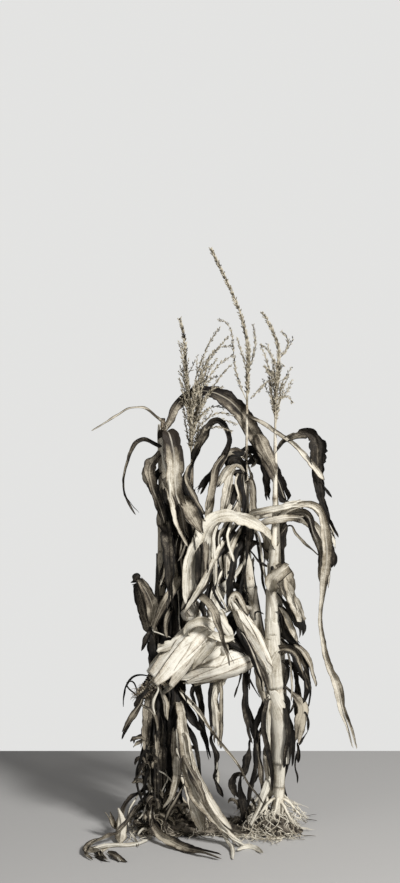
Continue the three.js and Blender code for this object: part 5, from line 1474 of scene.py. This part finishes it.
for _ in range(TANGLE_FIBRES):
    angle = root_pick(0, 2 * pi)
    reach = TANGLE_RADIUS * root_pick(0.1, 1) ** 0.6
    height = root_pick(0, 0.8) * (TANGLE_RADIUS - reach) + 5
    start = Vector((*TANGLE_MIDDLE, height)) + Vector((reach * cos(angle), reach * sin(angle), 0))
    fibre(bm, start, root_pick(0, 360), root_pick(25, 60), root_pick(-0.2, 0.5))
for _ in range(MAT_FIBRES):
    x = root_pick(*MAT_X)
    y = root_pick(*MAT_Y)
    start = Vector((x, y, root_pick(14, 34) * (1 - abs(y + 10) / 90)))
    shade = root_pick(0.2, 1.1)
    fibre(bm, start, root_pick(0, 360), root_pick(20, 55), shade)
piece(bm, "root_fibres", root_finish, "roots")

# Earth: low rough domes, three in a row under the clump and one round each foot, cut flat underneath
EARTH_CUT = 0.3
EARTH_SHRINK = 0.92
EARTH_SIZES = [(-118, 0, 78, 70, 34), (5, -10, 116, 54, 18), (108, -10, 60, 62, 32)]
FOOT_REACHES = [(stalk_right, 62), (stalk_centre, 46), (stalk_left, 56), (stalk_outer, 56)]
FOOT_EARTH_LENGTH = 0.62
FOOT_EARTH_DEPTH = 0.58
FOOT_EARTH_HEIGHT = 40


def lump(bm, x, y, half_length, half_depth, height):
    """Adds a low dome of earth with a rough skin."""
    made = bmesh.ops.create_uvsphere(bm, u_segments=96, v_segments=48, radius=1)["verts"]
    shade = bm.verts.layers.float["tone"]
    for vert in made:
        out = Vector(vert.co)
        spot = Vector((x + out.x * half_length, y + out.y * half_depth, out.z * height))
        rough = 1 + 0.3 * noise.noise(spot / 20) + 0.2 * noise.noise(spot / 7) + 0.1 * noise.noise(spot / 3)
        vert[shade] = 0.6 + 0.6 * noise.noise(spot / 12)
        vert.co = Vector((x, y, 0)) + (spot - Vector((x, y, 0))) * rough * EARTH_SHRINK


bm = fresh()
for sizes in EARTH_SIZES:
    lump(bm, *sizes)
for stalk, reach in FOOT_REACHES:
    foot_point = stalk.point(0)
    half_length, half_depth = reach * FOOT_EARTH_LENGTH, reach * FOOT_EARTH_DEPTH
    lump(bm, foot_point.x, foot_point.y, half_length, half_depth, FOOT_EARTH_HEIGHT)
cut = bmesh.ops.bisect_plane(
    bm, geom=[*bm.verts, *bm.edges, *bm.faces], plane_co=(0, 0, EARTH_CUT), plane_no=(0, 0, 1),
    clear_inner=True)
rim = [element for element in cut["geom_cut"] if isinstance(element, bmesh.types.BMEdge)]
bmesh.ops.holes_fill(bm, edges=rim, sides=0)
piece(bm, "root_mat", earth_finish, "roots", stands_for=["root_crown"])

# Scraps: torn bits of leaf, caught among the roots and against the two left stalks
SCRAPS = 156
SCRAPS_AT_FEET = 84
SCRAP_SEED = 400
SCRAP_PLACE_SEED = 8
scrap_pick = Random(SCRAP_PLACE_SEED).uniform
scraps = {"leaf_dark": fresh(), "leaf_tan": fresh(), "leaf_pale": fresh()}
for number in range(SCRAPS):
    look = ("leaf_dark", "leaf_dark", "leaf_tan", "leaf_pale")[number % 4]
    if number < SCRAPS_AT_FEET:
        stalk = (stalk_outer, stalk_left, stalk_outer, stalk_centre)[number // 4 % 4]
        start = stalk.point(0) + Vector((scrap_pick(-50, 40), scrap_pick(-55, 30), scrap_pick(0, 34)))
    else:
        stalk = (stalk_outer, stalk_left)[number % 2]
        start = stalk.point(scrap_pick(0.02, 0.24)) + Vector((scrap_pick(-20, 24), scrap_pick(-62, -30), 0))
    heading = scrap_pick(0, 360)
    legs = [
        (scrap_pick(9, 20), scrap_pick(-10, 80), heading, scrap_pick(0, 90)),
        (scrap_pick(9, 20), scrap_pick(-60, 20), heading + scrap_pick(-70, 70)),
        (scrap_pick(7, 14), scrap_pick(-80, 0), heading + scrap_pick(-70, 70)),
    ]
    tones = [scrap_pick(-0.1, 0.6), scrap_pick(0, 0.9)]
    blade(
        scraps[look], route(start, legs), [5, 15, 18, 9], 30, tones, SCRAP_SEED + number, curl=60, crumple=5,
        ragged=0.8, wander=50, tip=0.8)
for look, bm in scraps.items():
    piece(bm, "scraps_" + look, leaf_looks[look], look, BLADE_WALL)

# Tassels
# Three dry tassels, each on the tip of its stalk. The wiry stem and its thin side branches are set all
# round with slim spikelets of brown chaff.
GOLDEN_ANGLE = 137.5
SPIKELET_PITCH = 3.4
SPIKELETS_LOST = 0.15
SPIKELET_LENGTHS = (3.0, 5.2)
SPIKELET_RADII = (1.25, 1.0)
STEM_RADII = [2.4, 2.0, 1.6, 1.2, 0.7]
BRANCH_RADII = [1.3, 1.0, 0.6]
TWIG_RADII = [0.8, 0.4]
TASSEL_SEED = 3
tassel_finish = dried(
    "chaffy_tassel", (0.50, 0.45, 0.35), (0.19, 0.16, 0.11), (0.016, 0.013, 0.01), 0.75,
    across=900, run=40, relief=0.4)
tassel_dice = Random(TASSEL_SEED)
tassel_pick = tassel_dice.uniform


def spikelets(bm, path, first, ranks, shade, size=1.0):
    """Adds whorls of spikelets that stand out of a branch one after another, each a slim double point."""
    part = fresh()
    tone = part.verts.layers.float["tone"]
    count = int(path.length * (1 - first) / SPIKELET_PITCH)
    for number in range(count):
        t = first + (1 - first) * number / count
        point, forward, side, up = path.frame(t)
        for rank in range(ranks):
            if tassel_dice.random() < SPIKELETS_LOST:
                continue
            angle = radians(GOLDEN_ANGLE * number + 360 / ranks * rank + tassel_pick(-30, 30))
            out = side * cos(angle) + up * sin(angle)
            axis = (forward + out * tassel_pick(0.3, 1.1)).normalized()
            length = size * tassel_pick(*SPIKELET_LENGTHS) * (1 - 0.35 * t)
            turn = axis.to_track_quat("Z", "Y").to_matrix().to_4x4()
            spot = Matrix.Translation(point + out * 0.8 + axis * length * 0.9)
            shape = Matrix.Diagonal((SPIKELET_RADII[0] * size, SPIKELET_RADII[1] * size, length, 1))
            made = bmesh.ops.create_icosphere(part, subdivisions=1, radius=1, matrix=spot @ turn @ shape)
            darkness = shade + tassel_pick(-0.5, 0.9)
            for vert in made["verts"]:
                vert[tone] = darkness
    gather(bm, part)


def tassel(name, stalk, legs, bare, branches, shade, twigs=0):
    """A tassel on the tip of its stalk. Its stem is bare up to a share of its length, and each branch (at,
    legs) leaves it at a share of its length and has up to two twigs."""
    axis = route(stalk.point(1), legs)
    bm = fresh()
    limb(bm, axis, STEM_RADII, 8, 60, shade)
    spikelets(bm, axis, bare, 4, shade, 1.3)
    for at, branch_legs in branches:
        path = route(axis.point(at), branch_legs)
        limb(bm, path, BRANCH_RADII, 6, 24, shade)
        spikelets(bm, path, 0.12, 2, shade)
        for share in (0.4, 0.65)[:twigs]:
            point, forward, side, up = path.frame(share)
            lean = (forward + side * tassel_pick(-0.9, 0.9) + up * tassel_pick(-0.9, 0.9)).normalized()
            reach = tassel_pick(22, 42)
            tips = [point, point + lean * reach * 0.5, point + (lean + Vector((0, 0, 0.35))) * reach]
            twig = smooth_line(tips, side)
            limb(bm, twig, TWIG_RADII, 5, 8, shade)
            spikelets(bm, twig, 0.2, 1, shade)
    piece(bm, name + "_spray", tassel_finish, "tassel", stands_for=[name])


def fan(count):
    """Branches of the bushy tassel, which spread to both sides and further to the right."""
    branches = []
    for number in range(count):
        right = number % 5 < 3
        heading = (0 if right else 180) + draw(-60, 60)
        reach = draw(56, 84) if right else draw(46, 58)
        rise = draw(52, 72) if right else draw(70, 82)
        tip = draw(0, 62) if right else draw(50, 80)
        steep = (rise + 90) / 2
        legs = [(reach, steep, heading), (reach, rise, heading + 10), (reach * 0.6, tip, heading + 15)]
        branches.append((0.1 + 0.4 * (number % 10) / 10, legs))
    return branches


def drooping_branches(count):
    """Branches that arch over to the right of the bushy tassel and droop at their tips."""
    branches = []
    for number in range(count):
        heading = 24 * number - 30
        legs = [(52, 66 - 5 * number, heading), (44, 26, heading), (40, -22, 0)]
        branches.append((0.06 + 0.05 * number, legs))
    return branches


def slim_branches(count):
    """Steep thin branches that fill a tassel between its wide ones, from low down on its stem."""
    branches = []
    for number in range(count):
        heading = GOLDEN_ANGLE * number
        legs = [
            (52, tassel_pick(70, 84), heading), (50, tassel_pick(66, 88), heading + 12),
            (24, tassel_pick(20, 80), heading + 20),
        ]
        branches.append((0.02 + 0.3 * number / count, legs))
    return branches


tassel("tassel_centre", stalk_centre, bare=0.06, shade=0.15, legs=[
    (77, 89, 0), (55, 90, 0), (56, 101, 0), (48, 112, 0), (48, 114, 0), (44, 117, 0), (33, 115, 0),
], branches=[
    (0.02, [(43, 66, 180), (46, 76, 178), (44, 87, 175), (33, 82, 175), (19, 54, 178), (20, 14, 180)]),
    (0.18, [(45, 76, 190), (42, 71, 185)]),
    (0.2, [(40, 70, 10), (33, 82, 5), (36, 101, 0)]),
    (0.1, [(50, 68, -80), (45, 76, -85)]),
    (0.14, [(46, 66, 80), (50, 74, 90)]),
])
tassel("tassel_right", stalk_right, bare=0.12, shade=0.15, twigs=1, legs=[
    (66, 90, 0), (55, 86, 0), (55, 85, 0), (35, 109, 0), (31, 115, 0), (25, 121, 0),
], branches=[
    (0.58, [(34, 50, 0), (22, 96, 0), (21, 135, 0)]),
    (0.5, [(34, 66, 190), (18, 56, 185), (14, 27, 180)]),
    (0.4, [(20, 10, 175), (30, -50, 175), (25, -45, 180)]),
    (0.3, [(40, 60, -70), (35, 76, -80)]),
    (0.33, [(40, 60, 100), (35, 76, 90)]),
    (0.25, [(30, 20, 10), (22, -60, 10)]),
    (0.36, [(30, 64, 200), (24, 50, 190)]),
    (0.2, [(34, 70, 160), (30, 84, 170)]),
    (0.1, [(36, 76, 200), (34, 84, 190)]),
    (0.14, [(34, 74, -20), (30, 80, -20)]),
    *slim_branches(5),
])
tassel("tassel_left", stalk_left, bare=0.1, shade=0.2, twigs=1, legs=[
    (139, 92, 0), (67, 98, 0), (55, 90, 0), (33, 100, 0), (27, 105, 0),
], branches=[*fan(17), *slim_branches(7), *drooping_branches(4)])

# Floor, backdrop and light
# A plain pale floor ends a little way behind the plant, against a plain white background. One soft lamp
# stands high at the front right, and a weak one fills in from the left.
FLOOR_HALF_WIDTH = 3.0
FLOOR_BACK = 0.6
FLOOR_COLOUR = (0.44, 0.43, 0.415, 1)
FLOOR_ROUGHNESS = 0.9
LAMP_TARGET = (0, 0, 0.6)
SKY_COLOUR = (1.0, 1.0, 1.0, 1)
SKY_STRENGTH = 0.22
BACKDROP_COLOUR = (0.77, 0.77, 0.76, 1)

bm = bmesh.new()
bmesh.ops.create_grid(bm, x_segments=1, y_segments=1, size=FLOOR_HALF_WIDTH)
bmesh.ops.translate(bm, vec=(0, FLOOR_BACK - FLOOR_HALF_WIDTH, 0), verts=bm.verts)
floor_mesh = bpy.data.meshes.new("floor")
bm.to_mesh(floor_mesh)
bm.free()
floor_finish = bpy.data.materials.new("pale_floor")
floor_finish.use_nodes = True
floor_shader = floor_finish.node_tree.nodes["Principled BSDF"]
floor_shader.inputs["Base Color"].default_value = FLOOR_COLOUR
floor_shader.inputs["Roughness"].default_value = FLOOR_ROUGHNESS
floor_mesh.materials.append(floor_finish)
floor = bpy.data.objects.new("floor", floor_mesh)
bpy.context.scene.collection.objects.link(floor)


def lamp(name, place, size, power):
    """Adds a square lamp that faces the middle of the plant."""
    data = bpy.data.lights.new(name, "AREA")
    data.size = size
    data.energy = power
    made = bpy.data.objects.new(name, data)
    made.location = place
    made.rotation_euler = (Vector(LAMP_TARGET) - Vector(place)).to_track_quat("-Z", "Y").to_euler()
    bpy.context.scene.collection.objects.link(made)


lamp("key_lamp", (2.0, -2.6, 2.7), size=0.8, power=200)
lamp("fill_lamp", (-2.6, -2.2, 1.6), size=2.5, power=14)

world = bpy.data.worlds.new("studio")
world.use_nodes = True
sky = world.node_tree
dim = sky.nodes["Background"]
dim.inputs["Color"].default_value = SKY_COLOUR
dim.inputs["Strength"].default_value = SKY_STRENGTH
bright = sky.nodes.new("ShaderNodeBackground")
bright.inputs["Color"].default_value = BACKDROP_COLOUR
light_path = sky.nodes.new("ShaderNodeLightPath")
either = sky.nodes.new("ShaderNodeMixShader")
sky.links.new(light_path.outputs["Is Camera Ray"], either.inputs["Fac"])
sky.links.new(dim.outputs["Background"], either.inputs[1])
sky.links.new(bright.outputs["Background"], either.inputs[2])
sky.links.new(either.outputs["Shader"], sky.nodes["World Output"].inputs["Surface"])
bpy.context.scene.world = world
bpy.context.scene.view_settings.view_transform = "Standard"
